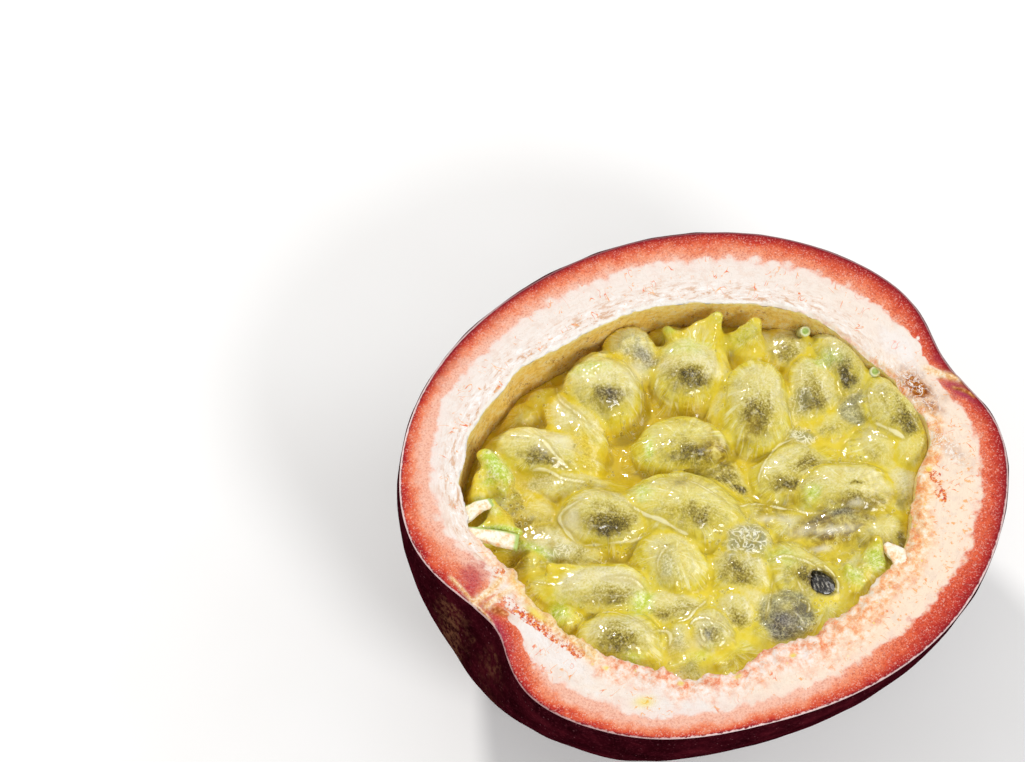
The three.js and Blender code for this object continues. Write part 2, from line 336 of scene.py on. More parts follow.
def colour(text):
    """Scene colour of a #rrggbb text."""
    parts = [int(text[i:i + 2], 16) / 255.0 for i in (1, 3, 5)]
    return [c / 12.92 if c <= 0.04045 else ((c + 0.055) / 1.055) ** 2.4 for c in parts] + [1.0]


# ---- Camera, light and floor ----
CAMERA_TARGET = Vector((-12.15, 18.13, CUT_HEIGHT)) * MM  # what lies in the middle of the picture
CAMERA_AZIMUTH = -124.5  # where the camera stands, seen from the target
CAMERA_ELEVATION = 60.0
CAMERA_DISTANCE = 363.4 * MM
CAMERA_ROLL = 6.7
CAMERA_LENS = 126.4
WHITE = (1.0, 1.0, 1.0)
WORLD_STRENGTH = 0.46
# Soft round lights that look at the fruit: name, azimuth, elevation, distance and size in metres, power,
# colour.
LIGHTS = [
    ("key", 95.0, 44.0, 0.6, 0.07, 1.6, (1.0, 0.98, 0.95)), ("front", -85.0, 38.0, 0.8, 0.25, 2.5, WHITE),
    ("side", -150.0, 40.0, 0.8, 0.4, 0.5, WHITE), ("fill", -15.0, 32.0, 0.8, 0.4, 1.3, WHITE),
]
FLOOR_HALF = 1500.0


def from_angles(azimuth, elevation):
    azimuth, elevation = math.radians(azimuth), math.radians(elevation)
    return Vector((math.cos(elevation) * math.cos(azimuth), math.cos(elevation) * math.sin(azimuth),
                   math.sin(elevation)))


def looking(place, target, roll=0.0):
    """World matrix of a camera or light at a place that looks at a target."""
    turn = (place - target).to_track_quat("Z", "Y").to_matrix().to_4x4()
    return Matrix.Translation(place) @ turn @ Matrix.Rotation(math.radians(roll), 4, "Z")


def add_camera():
    data = bpy.data.cameras.new("camera")
    data.lens = CAMERA_LENS
    data.clip_start = 0.01
    data.clip_end = 10.0
    camera = bpy.data.objects.new("camera", data)
    place = CAMERA_TARGET + from_angles(CAMERA_AZIMUTH, CAMERA_ELEVATION) * CAMERA_DISTANCE
    camera.matrix_world = looking(place, CAMERA_TARGET, CAMERA_ROLL)
    bpy.context.scene.collection.objects.link(camera)
    bpy.context.scene.camera = camera


def add_light(name, azimuth, elevation, distance, size, power, tint):
    data = bpy.data.lights.new(name, "AREA")
    data.shape = "DISK"
    data.size = size
    data.energy = power
    data.color = tint
    light = bpy.data.objects.new(name, data)
    middle = Vector((0, 0, CUT_HEIGHT * MM))
    light.matrix_world = looking(middle + from_angles(azimuth, elevation) * distance, middle)
    bpy.context.scene.collection.objects.link(light)


def add_studio():
    scene = bpy.context.scene
    scene.view_settings.view_transform = "Standard"
    world = bpy.data.worlds.new("studio")
    world.use_nodes = True
    background = world.node_tree.nodes["Background"]
    background.inputs["Color"].default_value = (*WHITE, 1.0)
    background.inputs["Strength"].default_value = WORLD_STRENGTH
    scene.world = world
    for light in LIGHTS:
        add_light(*light)


def add_floor():
    corners = np.array([(-1, -1, 0), (1, -1, 0), (1, 1, 0), (-1, 1, 0)]) * FLOOR_HALF
    floor = new_object("floor", corners, [(0, 1, 2, 3)])
    made = Shader("pale_floor")
    place = made.node("ShaderNodeTexCoord").outputs["Object"]
    tint = made.mix(made.noise(place, 60.0), "#fbfaf9", "#ffffff")
    floor.data.materials.append(made.finish(Base_Color=tint, Roughness=0.6))


# ---- Soft marks on a surface ----


def spot_mask(points, spots, edge_noise=0.25, grain=1.3, shift=0.0, fall=1.2):
    """Strength of soft oval spots: x, y, half length, half width, turn, strength.

    Their edges are uneven by edge_noise, with so many lumps per millimetre as grain says, the whole is pushed
    about by shift millimetres, and a larger fall gives a steeper edge.
    """
    mask = np.zeros(len(points))
    wobble = edge_noise * layered_noise(points * grain, 61, 3)
    if shift:
        points = points + shift * np.stack([layered_noise(points * 0.7, 63 + i, 2) for i in range(3)], 1)
    for x, y, half_length, half_width, turn, strength in spots:
        turn = math.radians(turn)
        right, up = points[:, 0] - x, points[:, 1] - y
        along = (right * math.cos(turn) + up * math.sin(turn)) / half_length
        across = (up * math.cos(turn) - right * math.sin(turn)) / half_width
        away = (along ** 2 + across ** 2) * (1.0 + wobble) ** 2
        mask = np.maximum(mask, strength * np.exp(-away ** fall))
    return mask


def wider(spots, times):
    return [(x, y, length * times, width * times, *rest) for x, y, length, width, *rest in spots]


def rounded(path):
    """The path with its corners cut off twice."""
    path = np.array(path, float)
    for _ in range(2):
        start, end = path[:-1], path[1:]
        cut = np.stack([0.75 * start + 0.25 * end, 0.25 * start + 0.75 * end], 1).reshape(-1, 2)
        path = np.concatenate([path[:1], cut, path[-1:]])
    return path


def path_distance(points, path):
    """Distance from a path, and the share of the path that lies before its nearest point."""
    path = rounded(path)
    steps = np.linalg.norm(np.diff(path, axis=0), axis=1)
    before = np.concatenate([[0.0], np.cumsum(steps)])
    nearest, share = np.full(len(points), np.inf), np.zeros(len(points))
    for start, end, step, done in zip(path[:-1], path[1:], steps, before):
        along = np.clip((points[:, :2] - start) @ (end - start) / step ** 2, 0, 1)
        off = np.linalg.norm(points[:, :2] - start - along[:, None] * (end - start), axis=1)
        share = np.where(off < nearest, (done + along * step) / before[-1], share)
        nearest = np.minimum(nearest, off)
    return nearest, share


def strokes_mask(points, strokes):
    """Strength of several soft lines: strength, width, path."""
    mask = np.zeros(len(points))
    for strength, width, path in strokes:
        mask = np.maximum(mask, strength * np.exp(-(path_distance(points, path)[0] / width) ** 2))
    return mask


# ---- The rind ----
STEPS_ROUND = 560
WOVEN_ANGLE = 110.0  # middle of the side where the pith is woven at the lip
FAR_ANGLE = 95.0  # middle of the side where the lip has a pale rim
SKIN_RINGS = 44
FACE_RINGS = 72
WALL_RINGS = 32
SKIN_END = -0.04  # the skin's faces lie before it
EDGE_ROUNDING = 0.12  # of the cut face's outer edge
UNEVEN = 0.08  # height of the bumps in the skin and in the cavity's wall
FACE_SWELL = 0.12  # how far the cut face swells half way between the skin and the cavity
FINE_HEIGHT, FINEST_HEIGHT = 0.05, 0.02  # of the unevenness all over the cut face
CRUMB_HEIGHT = 0.42
CREAM_HEIGHT = 0.14
PIT_DEPTH = 0.35  # of the brown hollow near the tip
WRAP_RADIUS = 24.0  # radius of the round on which the cut face's patterns are laid
WALL_RADIUS = 20.0  # mean radius of the cavity, for lengths down its wall
WALL_LOWEST = 88.0  # angle down to the wall's last ring
FAR_BEFORE, FAR_PAST = -40.0, 60.0  # stand for far outside and far inside an edge
# Round the fruit, angle and value: reach and depth of the red layer, how dark it is at the skin, how much
# pale skin shows at its edge, how warm the pith is, reach of the flush at the lip and how pink it is.
RED_REACH = [
    (0, 2), (10, 2.7), (30, 3.1), (50, 3.2), (75, 3.2), (90, 2.8), (110, 2.7), (125, 2.8), (138, 2.4),
    (150, 3), (165, 3.5), (176, 3.8), (184, 3.3), (190, 2.9), (200, 2.7), (212, 3), (230, 2.3),
    (250, 2.3), (270, 2.7), (300, 2.7), (312, 2.5), (335, 2.7), (350, 2.2),
]
RED_DEPTH = [
    (0, 0.75), (30, 0.6), (55, 0.45), (80, 0.35), (110, 0.25), (130, 0.1), (150, 0), (170, 0.2),
    (185, 0.55), (200, 0.7), (212, -0.1), (235, -0.2), (258, -0.1), (275, 0.5), (295, 0.9), (325, 0.8),
    (345, 0.75),
]
OUTER_DARKNESS = [
    (0, 0.95), (30, 1), (60, 0.7), (90, 0.75), (125, 1), (145, 0.4), (165, 0.1), (215, 0.1), (260, 0.3),
    (300, 0.75), (340, 0.85),
]
PEEL_LIGHT = [
    (0, 0.3), (25, 0.25), (60, 0.1), (100, 0.15), (120, 0.7), (150, 0.95), (170, 0.7), (200, 0.3),
    (225, 0.5), (245, 0.9), (280, 0.7), (310, 0.8), (340, 0.6),
]
PITH_WARMTH = [
    (0, 0.6), (20, 0.35), (50, 0.2), (80, 0.2), (150, 0.15), (170, 0.4), (200, 0.2), (215, 0.4),
    (236, 0.1), (255, 0.6), (290, 0.8), (330, 0.75),
]
FLUSH_REACH = [
    (0, 0.4), (20, 0.2), (60, 0), (165, 0), (178, 0.9), (205, 1.2), (222, 1.9), (250, 2.2), (268, 2.6),
    (290, 2.2), (320, 1.6), (345, 1.2),
]
FLUSH_PINK = [(0, 0.1), (180, 0.4), (225, 0.9), (262, 1), (285, 0.4), (330, 0)]
# Soft marks on the cut face. Spots: x, y, half length, half width, turn, strength. Strokes: strength,
# width, path.
MAGENTA_SPOTS = [
    (-26.3, 0.2, 1.9, 1.1, 60, 0.7), (-26.9, -5.6, 2.6, 0.9, 88, 0.7), (28.6, 0.4, 1.4, 0.7, -48, 1),
    (28.3, -3.7, 1.8, 0.8, -58, 1.2),
]
WHITE_SPOTS = [
    (-23.6, -7.2, 2.8, 1.2, -76, 0.9), (-22.6, -11.2, 2.6, 1.1, -70, 0.8),
    (25.4, 3.6, 2.6, 1.5, -75, 0.8),
]
BROWN_SPOTS = [
    (24.3, -0.9, 1.9, 0.95, -80, 1.5), (24.4, -3.5, 1.3, 0.7, -70, 0.9), (23.6, -9, 2.6, 0.9, -75, 0.3),
    (26.2, -3.4, 0.9, 0.6, 20, 0.3), (-25.8, -3.9, 1.5, 0.5, -52, 0.8),
]
WEB_SPOTS = [
    (24.1, -1.3, 3.6, 1.3, -85, 1), (23.2, -8, 3.4, 1.2, -75, 0.7), (22.7, 2.6, 1.6, 1, -50, 0.8),
]
RED_SPECK_SPOTS = [
    (-23.8, -0.4, 0.9, 0.7, 20, 0.85), (20.4, -10.7, 1.3, 0.6, 80, 0.95),
    (19.9, -12.6, 1.5, 0.8, 80, 0.7),
]
SCAR_SPOTS = [(-29, -0.8, 1, 3, -20, 1), (-26.4, -6.4, 1, 2.6, -40, 0.9)]
RED_STROKES = [(0.86, 0.8, [(-24.9, -3), (-24.4, -4), (-23.2, -6.6), (-22, -9.2), (-21, -11.4)])]
GOLD_STROKES = [(1, 0.6, [(-22.6, -1.6), (-22.3, -4.6), (-21.6, -7.2), (-20.7, -9.6), (-19.9, -12.2)])]
BROWN_STROKES = [
    (1, 0.24, [(27, -1.2), (27.7, -1), (27.9, -1.9), (28.5, -1.7), (28.8, -2.5)]),
    (1, 0.24, [(27.6, -2.9), (28.4, -3.5), (28.9, -4.5)]),
]
CREAM_STROKES = [
    (1, 0.45, [(-28.2, -2.2), (-26.8, -1.9), (-25.3, -1.7), (-23.9, -1)]),
    (0.9, 0.35, [(-26.6, -3), (-24.9, -2.5), (-22.8, -2.4)]),
    (0.9, 0.2, [(-28.2, 1.4), (-27.9, 0.2), (-27.5, -2.3), (-27, -4.1), (-27.1, -5.2)]),
    (0.8, 0.7, [(-22.5, 1.9), (-22.3, -1.2), (-21.8, -5.3), (-21.7, -8.2), (-20.5, -10.2), (-19.8, -12.8)]),
    (0.9, 0.45, [(26.3, 0.2), (27.5, -1.2), (28.4, -1.9), (29.4, -2.9)]),
]
YELLOW_SPOTS = [
    (-17.9, -18.9, 1, 0.6, -20, 0.7), (-19.4, -14, 0.3, 0.25, 0, 1), (-13.8, -18.8, 0.25, 0.25, 0, 1),
    (-8.4, -20.6, 0.3, 0.25, 0, 1), (-2.5, -21.2, 0.3, 0.25, 0, 1), (20.3, -9.7, 0.3, 0.25, 0, 1),
    (-22.7, -5.9, 1.3, 0.4, -68, 0.9),
]


def rind_grid():
    """Points of the rind's rings from the foot to the bottom of the cavity, with their attributes."""
    angle = full_turn(STEPS_ROUND)
    rings, from_skin, from_lip = [], [], []
    skin_edge, lip_edge = skin_radius(angle, 0.0), lip_radius(angle)
    width = skin_edge - lip_edge
    lowest = 90.0 - math.degrees(math.asin(REST_RADIUS / HALF_WIDTH))

    def add(points, skin, lip):
        rings.append(points)
        from_skin.append(skin + 0 * angle)
        from_lip.append(lip + 0 * angle)

    for share in (0.5, 1.0):
        add(direction(angle, 0.0) * REST_RADIUS * share + lean(np.array(90.0)), FAR_BEFORE, FAR_PAST)
    for ring in range(SKIN_RINGS):
        down = lowest * (1.0 - (ring + 1) / SKIN_RINGS) ** 1.4
        uneven = UNEVEN * layered_noise(direction(angle, down) * 9.0, 5, 2)
        radius = skin_radius(angle, down) + uneven * (1 - (down / lowest) ** 6)
        points = on_fruit(angle, down, radius)
        if ring == SKIN_RINGS - 1:
            points[:, 2] -= EDGE_ROUNDING
        add(points, -HALF_WIDTH * math.radians(down) - 0.05, width)
    for ring in range(FACE_RINGS):
        across = (ring / (FACE_RINGS - 1)) ** 0.9
        inset = EDGE_ROUNDING * 0.7
        points = on_fruit(angle, 0.0, skin_edge - inset - (width - inset) * across)
        points[:, 2] += face_relief(points, across, width, angle)
        add(points, width * across, width * (1 - across))
    for ring in range(1, WALL_RINGS):
        down = WALL_LOWEST * (ring / WALL_RINGS) ** 1.6
        fading = math.exp(-down / 3.0)
        radius = cavity_radius(angle, down) + (lip_edge - cavity_radius(angle, 0.0)) * fading
        uneven = UNEVEN * layered_noise(direction(angle, down) * 22.0, 11, 3)
        points = on_fruit(angle, down, radius + uneven * smooth(down / 4.0))
        points[:, 2] -= LIP_DROP * fading
        depth = WALL_RADIUS * math.radians(down)
        add(points, width + depth, -depth)
    return angle, np.array(rings), np.array(from_skin), np.array(from_lip)


def torn(angle):
    """0 where the lip is smooth, 1 where it is torn."""
    return 0.5 - 0.5 * np.cos(np.radians(angle - SMOOTH_LIP_ANGLE))


def lip_radius(angle):
    """Radius of the cavity at the cut, with small ragged bites where it is torn."""
    bites = layered_noise(direction(angle, 0.0) * 26.0, 17, 3)
    return cavity_radius(angle, 0.0) + (0.05 + 0.3 * torn(angle) ** 1.5) * bites


def face_relief(points, across, width, angle):
    """Height of the cut face above its plane: fine unevenness, and the lip that sinks to the cavity."""
    fine = FINE_HEIGHT * layered_noise(points / 1.3, 21, 3)
    fine = fine + FINEST_HEIGHT * layered_noise(points / 0.35, 27, 2)
    pith = smooth((across - 0.35) / 0.25)
    swell = FACE_SWELL * np.sin(np.pi * across) * (1 + 0.4 * lattice_noise(points / 4.0, 33))
    from_lip = width * (1 - across)
    lip = LIP_DROP * np.exp(-(from_lip / 0.35) ** 1.2)
    crumbs = smooth(1.4 - from_lip / (0.05 + round_value(FLUSH_REACH, angle)))
    lumps = CRUMB_HEIGHT * np.maximum(layered_noise(points / 0.8, 37, 3), -0.35) * crumbs
    cream = CREAM_HEIGHT * strokes_mask(points, CREAM_STROKES)
    pits = PIT_DEPTH * spot_mask(points, BROWN_SPOTS[:1]) * smooth(layered_noise(points / 0.5, 39, 2) + 0.6)
    return swell + fine * (0.4 + 0.6 * pith) - lip + lumps + cream - pits


def build_rind():
    angle, rings, from_skin, from_lip = rind_grid()
    count = len(rings)
    foot = lean(np.array(90.0))
    bottom = on_fruit(np.array([0.0]), 90.0, cavity_radius(np.array([0.0]), 90.0))[0]
    points = np.concatenate([[foot], rings.reshape(-1, 3), [bottom]])
    angles = np.concatenate([[0], np.tile(angle, count), [0]])
    skin = np.concatenate([[FAR_BEFORE], from_skin.ravel(), [FAR_PAST]])
    lip = np.concatenate([[FAR_PAST], from_lip.ravel(), [FAR_BEFORE]])
    wrap = direction(angles, 0.0) * WRAP_RADIUS + skin[:, None] * [0, 0, 1]
    faces = ring_faces(count, STEPS_ROUND)
    piece = new_object("rind", points, faces, {
        "from_skin": skin, "from_lip": lip, "wrap": wrap, "mm": points,
        **face_marks(points, angles, skin, lip)})
    piece.data.materials.append(skin_material())
    piece.data.materials.append(flesh_material())
    on_flesh = skin > SKIN_END
    kinds = np.array([on_flesh[face].all() for face in faces], np.int32)
    piece.data.polygons.foreach_set("material_index", kinds)
    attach(piece, "root")
    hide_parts("rind_and_pith")


def face_marks(points, angles, from_skin, from_lip):
    """Amounts of each kind of tissue on the cut face, from 0 to 1."""
    on_face = (from_skin > -0.2) * (from_lip > -1.0)
    reach = round_value(RED_REACH, angles) + 0.3 * layered_noise(points / 2.2, 81, 2)
    magenta = spot_mask(points, MAGENTA_SPOTS, 0.5)
    white = spot_mask(points, WHITE_SPOTS, 0.5)
    cream = strokes_mask(points, CREAM_STROKES)
    brown = np.maximum(spot_mask(points, BROWN_SPOTS), strokes_mask(points, BROWN_STROKES))
    specks = np.maximum(spot_mask(points, RED_SPECK_SPOTS), strokes_mask(points, RED_STROKES))
    flush_reach = round_value(FLUSH_REACH, angles)
    flush = 1.5 - from_lip / (0.05 + 1.25 * flush_reach) + 0.3 * lattice_noise(points / 1.1, 83)
    layers = 0.6 + 0.8 * np.cos(np.radians(angles - WOVEN_ANGLE))
    return {
        "across": from_skin / reach,
        "scars": spot_mask(points, SCAR_SPOTS, 0.5) * (from_skin < -2.0),
        "deep": np.clip(np.maximum(round_value(RED_DEPTH, angles), magenta), 0, 1),
        "magenta": magenta * on_face,
        "outer": round_value(OUTER_DARKNESS, angles) * np.exp(-np.maximum(from_skin, 0) / 0.8),
        "peel": round_value(PEEL_LIGHT, angles),
        "bare": np.clip(white + 0.5 * cream, 0, 1),
        "warm": round_value(PITH_WARMTH, angles) * (1 - 0.9 * white),
        "white": white,
        "flush": smooth(flush) * (flush_reach > 0.05) * (1 - 0.8 * white),
        "cream": cream * on_face,
        "brown": brown * on_face,
        "specks": specks * on_face,
        "web": spot_mask(points, WEB_SPOTS, 0.4) * on_face,
        "gold": strokes_mask(points, GOLD_STROKES) * on_face,
        "yellow": spot_mask(points, YELLOW_SPOTS, 0.1) * on_face,
        "layers": smooth(layers) * smooth(1.2 - from_lip / 3.0),
        "pink": round_value(FLUSH_PINK, angles),
        "flaky": torn(angles),
        "far": smooth(0.2 + 0.9 * np.cos(np.radians(angles - FAR_ANGLE))),
    }


def skin_material():
    """Waxy dark purple skin with fine pale specks."""
    made = Shader("rind_skin")
    mix, noise, step, place = made.mix, made.noise, made.step, made.place()
    skin = made.ramp(noise(place, 0.3, 5, 0.65), (0.3, "#1c0206"), (0.5, "#2f060e"), (0.7, "#471019"))
    skin = mix(step(noise(place, 3.6, 2, 0.7), 0.52, 0.7) * 0.3, skin, "#6a2a34")
    speck = step(made.cells(place, 1.5), 0.16, 0.06) * step(noise(place, 0.5), 0.35, 0.7)
    skin = mix(speck * 0.5, skin, "#a06a70")
    skin = mix(made.mark("scars") * step(noise(place, 1.6, 3, 0.7), 0.4, 0.65), skin, "#6a4430")
    normal = made.bump(noise(place, 2, 3, 0.6), 0.05)
    return made.finish(Base_Color=skin, Roughness=0.5, Normal=normal, Specular_IOR_Level=0)


def red_layer(made, across, ragged, grain, crest_highlight):
    """Red tissue: dark at the skin, paler towards the pith, and grainy all over, with painted shade in the
    hollows of the grain and pale dots of painted highlight.
    """
    mark, mix, step = made.mark, made.mix, made.step
    shade = (across * (mark("deep") * -1.2 + 1.45)).clamped()
    red = made.ramp(
        shade, (0, "#aa1c20"), (0.14, "#c8382a"), (0.34, "#e2603c"), (0.62, "#f2916a"), (1, "#f7bfa6"))
    # darker where the grain's bump is low: painted shade in its hollows
    red = mix(step(grain, 0.54, 0.36) * (mark("deep") * 0.4 + 0.35), red, "#c4524a", blend="MULTIPLY")
    # pale dots: painted highlights
    red = mix(crest_highlight * 0.55, red, "#fbd0c0")
    red = mix(mark("magenta") * 0.85, red, mix(grain, "#760c2e", "#d85874"))
    outer = mark("outer") + (ragged * 0.8 - 0.4)
    return mix(step(outer, 0.05, 0.85), red, mix(crest_highlight, "#8e0a18", "#c23c42"))


def pith_layer(made, woven, grain, crest_highlight):
    """Pith: pale, woven towards the cavity, flecked with orange and red, and flushed at the lip."""
    mark, mix, noise, place, ramp, step = made.mark, made.mix, made.noise, made.place, made.ramp, made.step
    warm, points, patchy = mark("warm"), place(), noise(place(), 0.75, 2, 0.6)
    pith = mix(warm, "#f2eae6", "#fde4c6")
    pith = mix(step(noise(points, 0.9, 4, 0.65), 0.5, 0.64) * 0.4, pith, "#ebd2c2")
    fibres = noise(place("wrap", (0.22, 0.22, 1)), 4.5, 3, 0.65)
    pith = mix(step(fibres, 0.52, 0.68) * 0.3, pith, "#e9cdb9")
    pith = mix(step(woven, 0.52, 0.62) * mark("layers"), pith, "#dcb292")
    pith = mix(step(woven, 0.48, 0.36) * mark("layers"), pith, "#fffdfb")
    curls = noise(place("wrap", (1, 1, 0.5)), 0.9, 1, 0.5, 1.2)
    flecks = step(abs(curls - 0.5), 0.022, 0.008) * step(patchy, 0.54, 0.6)
    pith = mix(flecks * 0.9, pith, mix(step(patchy, 0.6, 0.66), "#f6b066", "#ec6c30"))
    spots = noise(place("wrap", (1, 1, 0.7)), 2.2, 3, 0.7)
    pith = mix(step(spots, 0.68, 0.74) * 0.7, pith, "#f0985c")
    dots = step(warm * 0.14 + spots, 0.69, 0.75) * step(warm, 0.3, 0.6)
    pith = mix(dots * 0.8, pith, "#f6aa5a")
    crumb = noise(points, 0.95, 4, 0.7)
    orange = ramp(crumb, (0.36, "#fff2de"), (0.44, "#fedcae"), (0.53, "#fab870"), (0.62, "#ee8c3a"))
    pink = ramp(crumb, (0.36, "#fff4f0"), (0.46, "#fde0ce"), (0.55, "#f9b690"), (0.64, "#ec7c48"))
    # pale dots of painted highlight on the flush
    flush = mix(crest_highlight * 0.4, mix(mark("pink"), orange, pink), "#fffaf6")
    drops = step(made.cells(points, 0.75), 0.14, 0.1) * step(crumb, 0.48, 0.54)
    pith = mix(mark("flush") * 0.9, pith, mix(drops, flush, "#f3d236"))
    pith = mix(mark("white") * 0.6, pith, "#faf5f2")
    pith = mix(mark("gold"), pith, ramp(crumb, (0.36, "#fff0c8"), (0.5, "#fbdc84"), (0.62, "#eebb40")))
    specks = noise(points, 1.8, 3, 0.75) + made.math("MINIMUM", mark("specks") * 1.8, 0.9)
    return mix(step(specks, 1.34, 1.45), pith, mix(step(grain, 0.4, 0.6), "#c8342c", "#f4984c"))


def cavity_wall(made, from_lip):
    """Wall of the cavity: yellow, blotched, with brown grains and painted glints of wet grains lower down."""
    mix, noise, step, place = made.mix, made.noise, made.step, made.place()
    depth = from_lip * -1
    wall = made.ramp(depth * (1 / 9), (0, "#fae69c"), (0.1, "#f8d978"), (0.3, "#f8d068"), (0.7, "#fcd468"))
    blotch = noise(place, 1.4, 5, 0.8)
    wall = mix(step(blotch, 0.5, 0.58) * 0.6, wall, "#fdebba")
    wall = mix(step(blotch, 0.47, 0.38) * 0.4, wall, "#c0862c")
    patch = step(noise(place, 0.55, 3, 0.6), 0.5, 0.58) * step(depth, 0.8, 2)
    # painted glints on the wet grains lower down
    wall = mix(step(noise(place, 3, 3, 0.8), 0.53, 0.6) * patch * 0.8, wall, "#ffeebc")
    return mix(step(noise(place, 2.6, 3, 0.8), 0.47, 0.4) * patch * 0.7, wall, "#9c5412")


def flesh_material():
    """The cut face with its red layer and white pith, and the wall of the cavity."""
    made = Shader("rind_flesh")
    mark, mix, noise, ramp, step = made.mark, made.mix, made.noise, made.ramp, made.step
    place, wrap, from_skin, from_lip = made.place(), made.place("wrap"), mark("from_skin"), mark("from_lip")
    grain = noise(place, 4.8, 3, 0.75)
    # pale dots that are painted highlights on the grain of the cut face
    crest_highlight = step(noise(place, 5.6, 2, 0.75), 0.53, 0.68)
    woven = noise(made.place("wrap", (0.3, 0.3, 1)), 2.4, 4, 0.7, 0.5)
    ragged = noise(made.place("wrap", (1, 1, 0.85)), 0.75, 5, 0.72)
    across = mark("across") + (made.cells(wrap, 0.85) * -0.3 + (ragged * 0.65 - 0.17))
    red = red_layer(made, across, ragged, grain, crest_highlight)
    pith = pith_layer(made, woven, grain, crest_highlight)
    beyond = across - mark("magenta") * 0.8 + mark("bare") * 2
    face = mix(step(beyond, 1.14, 0.92), mix(step(beyond, 1.5, 0.9) * 0.35, pith, "#f6cfc4"), red)
    brown = ramp(noise(place, 2.3, 3, 0.7), (0.36, "#8a440e"), (0.5, "#ba6e24"), (0.66, "#e4b074"))
    face = mix(mark("brown"), face, brown)
    cream = ramp(noise(place, 2.2, 4, 0.75), (0.36, "#e0a058"), (0.47, "#f8cd90"), (0.6, "#fff2d8"))
    face = mix(mark("cream"), face, cream)
    strand = noise(made.place("mm", (1, 1, 0.3)), 1, 3, 0.65, 1)
    face = mix(step(abs(strand - 0.5), 0.03, 0.01) * mark("web"), face, "#fffdfa")
    face = mix(mark("yellow"), face, "#f4dc5a")
    face = mix(step(from_lip, 0.5, 0.15) * mark("far"), face, "#fffaf4")
    # dark skin that shows at the outer edge, and its pale torn rim
    flaky = noise(wrap, 1.6, 3, 0.75) * 0.7 - 0.35
    face = mix(step(from_skin + flaky * 0.6, 0.34, 0.12) * 0.7, face, "#64091f")
    face = mix(step(from_skin - flaky * mark("flaky"), 0.2, 0.1) * mark("peel"), face, "#f9dedb")
    base = mix(step(from_lip, 0.03, -0.12), face, cavity_wall(made, from_lip))
    relief = grain * 0.8 + (woven * 0.6 + noise(place, 3, 4, 0.6))
    return made.finish(
        Base_Color=base, Roughness=0.45, Normal=made.bump(relief, 0.12), Specular_IOR_Level=0.15,
        Subsurface_Weight=step(from_lip, 0.1, -0.3) * 0.6, Subsurface_Radius=(1, 0.8, 0.4),
        Subsurface_Scale=2 * MM)


# ---- The pulp ----
PULP_GRID = 0.205
GRID_REACH = (25.0, 22.0)  # half length and half width of the grid
GRID_TOP = 0.8  # how far the grid stands above the cut face
PULP_DEPTH = 8.0  # how far below the cut face the fine pulp reaches; plain rings close it below
MERGE = 1.0  # rounding where arils run into each other
ARIL_BEND = 0.4  # how far an aril's form strays from a plain oval
LUMP_HEIGHT, WRINKLE_HEIGHT = 0.2, 0.08  # of the noise on an aril's form
NEAR_ARIL = 2.5  # farther away only the plain oval counts
GEL_RISE = 0.3  # how far the wet gel stands above the plain core
FOLD_LIFT, FINE_LIFT, RIDGE_LIFT = 0.08, 0.05, 0.09  # heights of the relief laid on the finished pulp
OVERLAP = 0.06  # how far the pulp reaches into the cavity's wall
SPARE = 1.6  # how far round a form the grid is worked out
WINDOW_NUMBER, SEED_NUMBER = 200, 300  # their numbers for the noise, where an aril has its own
LOWEST = 86.0  # angle down to the last ring of the pulp's under side
# Seeds under thin skin, bare seeds, and the holes in the pulp: round the bare seed, and the dark crack.
SEEDS = [(19, 0.5, 2.4, 4, 2.2, -40), (0, -16.3, 1.6, 5.2, 4.4, -70), (9.4, -9.8, 2, 5.4, 2.3, -22)]
BARE_SEEDS = [(4.6, -15.1, 1.9, 4.4, 3.4, -60)]
SEED_RINGS, SEED_STEPS = 24, 36
SEED_TAPER = 0.14  # how much narrower a bare seed is at its tip, and wider at its other end
SEED_PITS = 0.06  # depth of its pits
WINDOWS = [(4.7, -15.2, 0.9, 3, 2.3, -60), (14.4, -14.6, 1.2, 3.4, 0.8, 54)]
# Scraps of aril, ridges from a tip to a root: x, y, how far below the cut face and radius of both ends.
SHREDS = [
    ((10.7, 15.9, 1.1, 0.4), (9.2, 14.2, 4.2, 1.7)), ((10.6, 15.8, 1.2, 0.35), (7.8, 16.2, 3, 0.8)),
    ((13.9, 13.4, 1.2, 0.4), (12.8, 11.8, 4, 1.5)), ((13.9, 13.4, 1.2, 0.35), (11.6, 13.8, 3.4, 0.8)),
    ((6.1, 17.5, 2.9, 0.6), (6.4, 16.7, 3.8, 1)), ((11.6, -14.1, 0.6, 0.4), (10.4, -16.2, 2, 1.2)),
    ((7.5, -15.1, 0.8, 0.35), (7.2, -16.9, 2, 0.9)), ((11.6, -14.1, 0.7, 0.3), (8.6, -16.4, 1.8, 0.7)),
    ((-18.2, 12.5, 1.5, 0.8), (-18, 9.4, 2.4, 1.3)), ((-19.6, 10.9, 2.2, 0.6), (-20.7, 9.2, 2.8, 1)),
    ((-20.2, 7.6, 1.8, 0.4), (-20.6, 5.6, 2.6, 1.3)), ((-22.6, 5.7, 1.9, 0.3), (-20.6, 5.4, 2.6, 1.2)),
    ((-19.4, 3.7, 2.1, 0.45), (-20.4, 5.2, 2.6, 1.1)), ((22, 3, 2.2, 0.5), (21.5, 2.3, 3, 0.8)),
    ((18.3, 10.3, 2.6, 0.5), (18.3, 9.7, 3.4, 0.8)), ((-18.2, -1.2, 2.2, 0.5), (-16.6, -2.6, 2.4, 0.6)),
]
PAINTED_SHADE_SIDE = -124.5  # side of each aril that is painted darker over its seed: painted shade on the side away from the key light
FAR_FOLD = 9.0  # stands for far from every fold
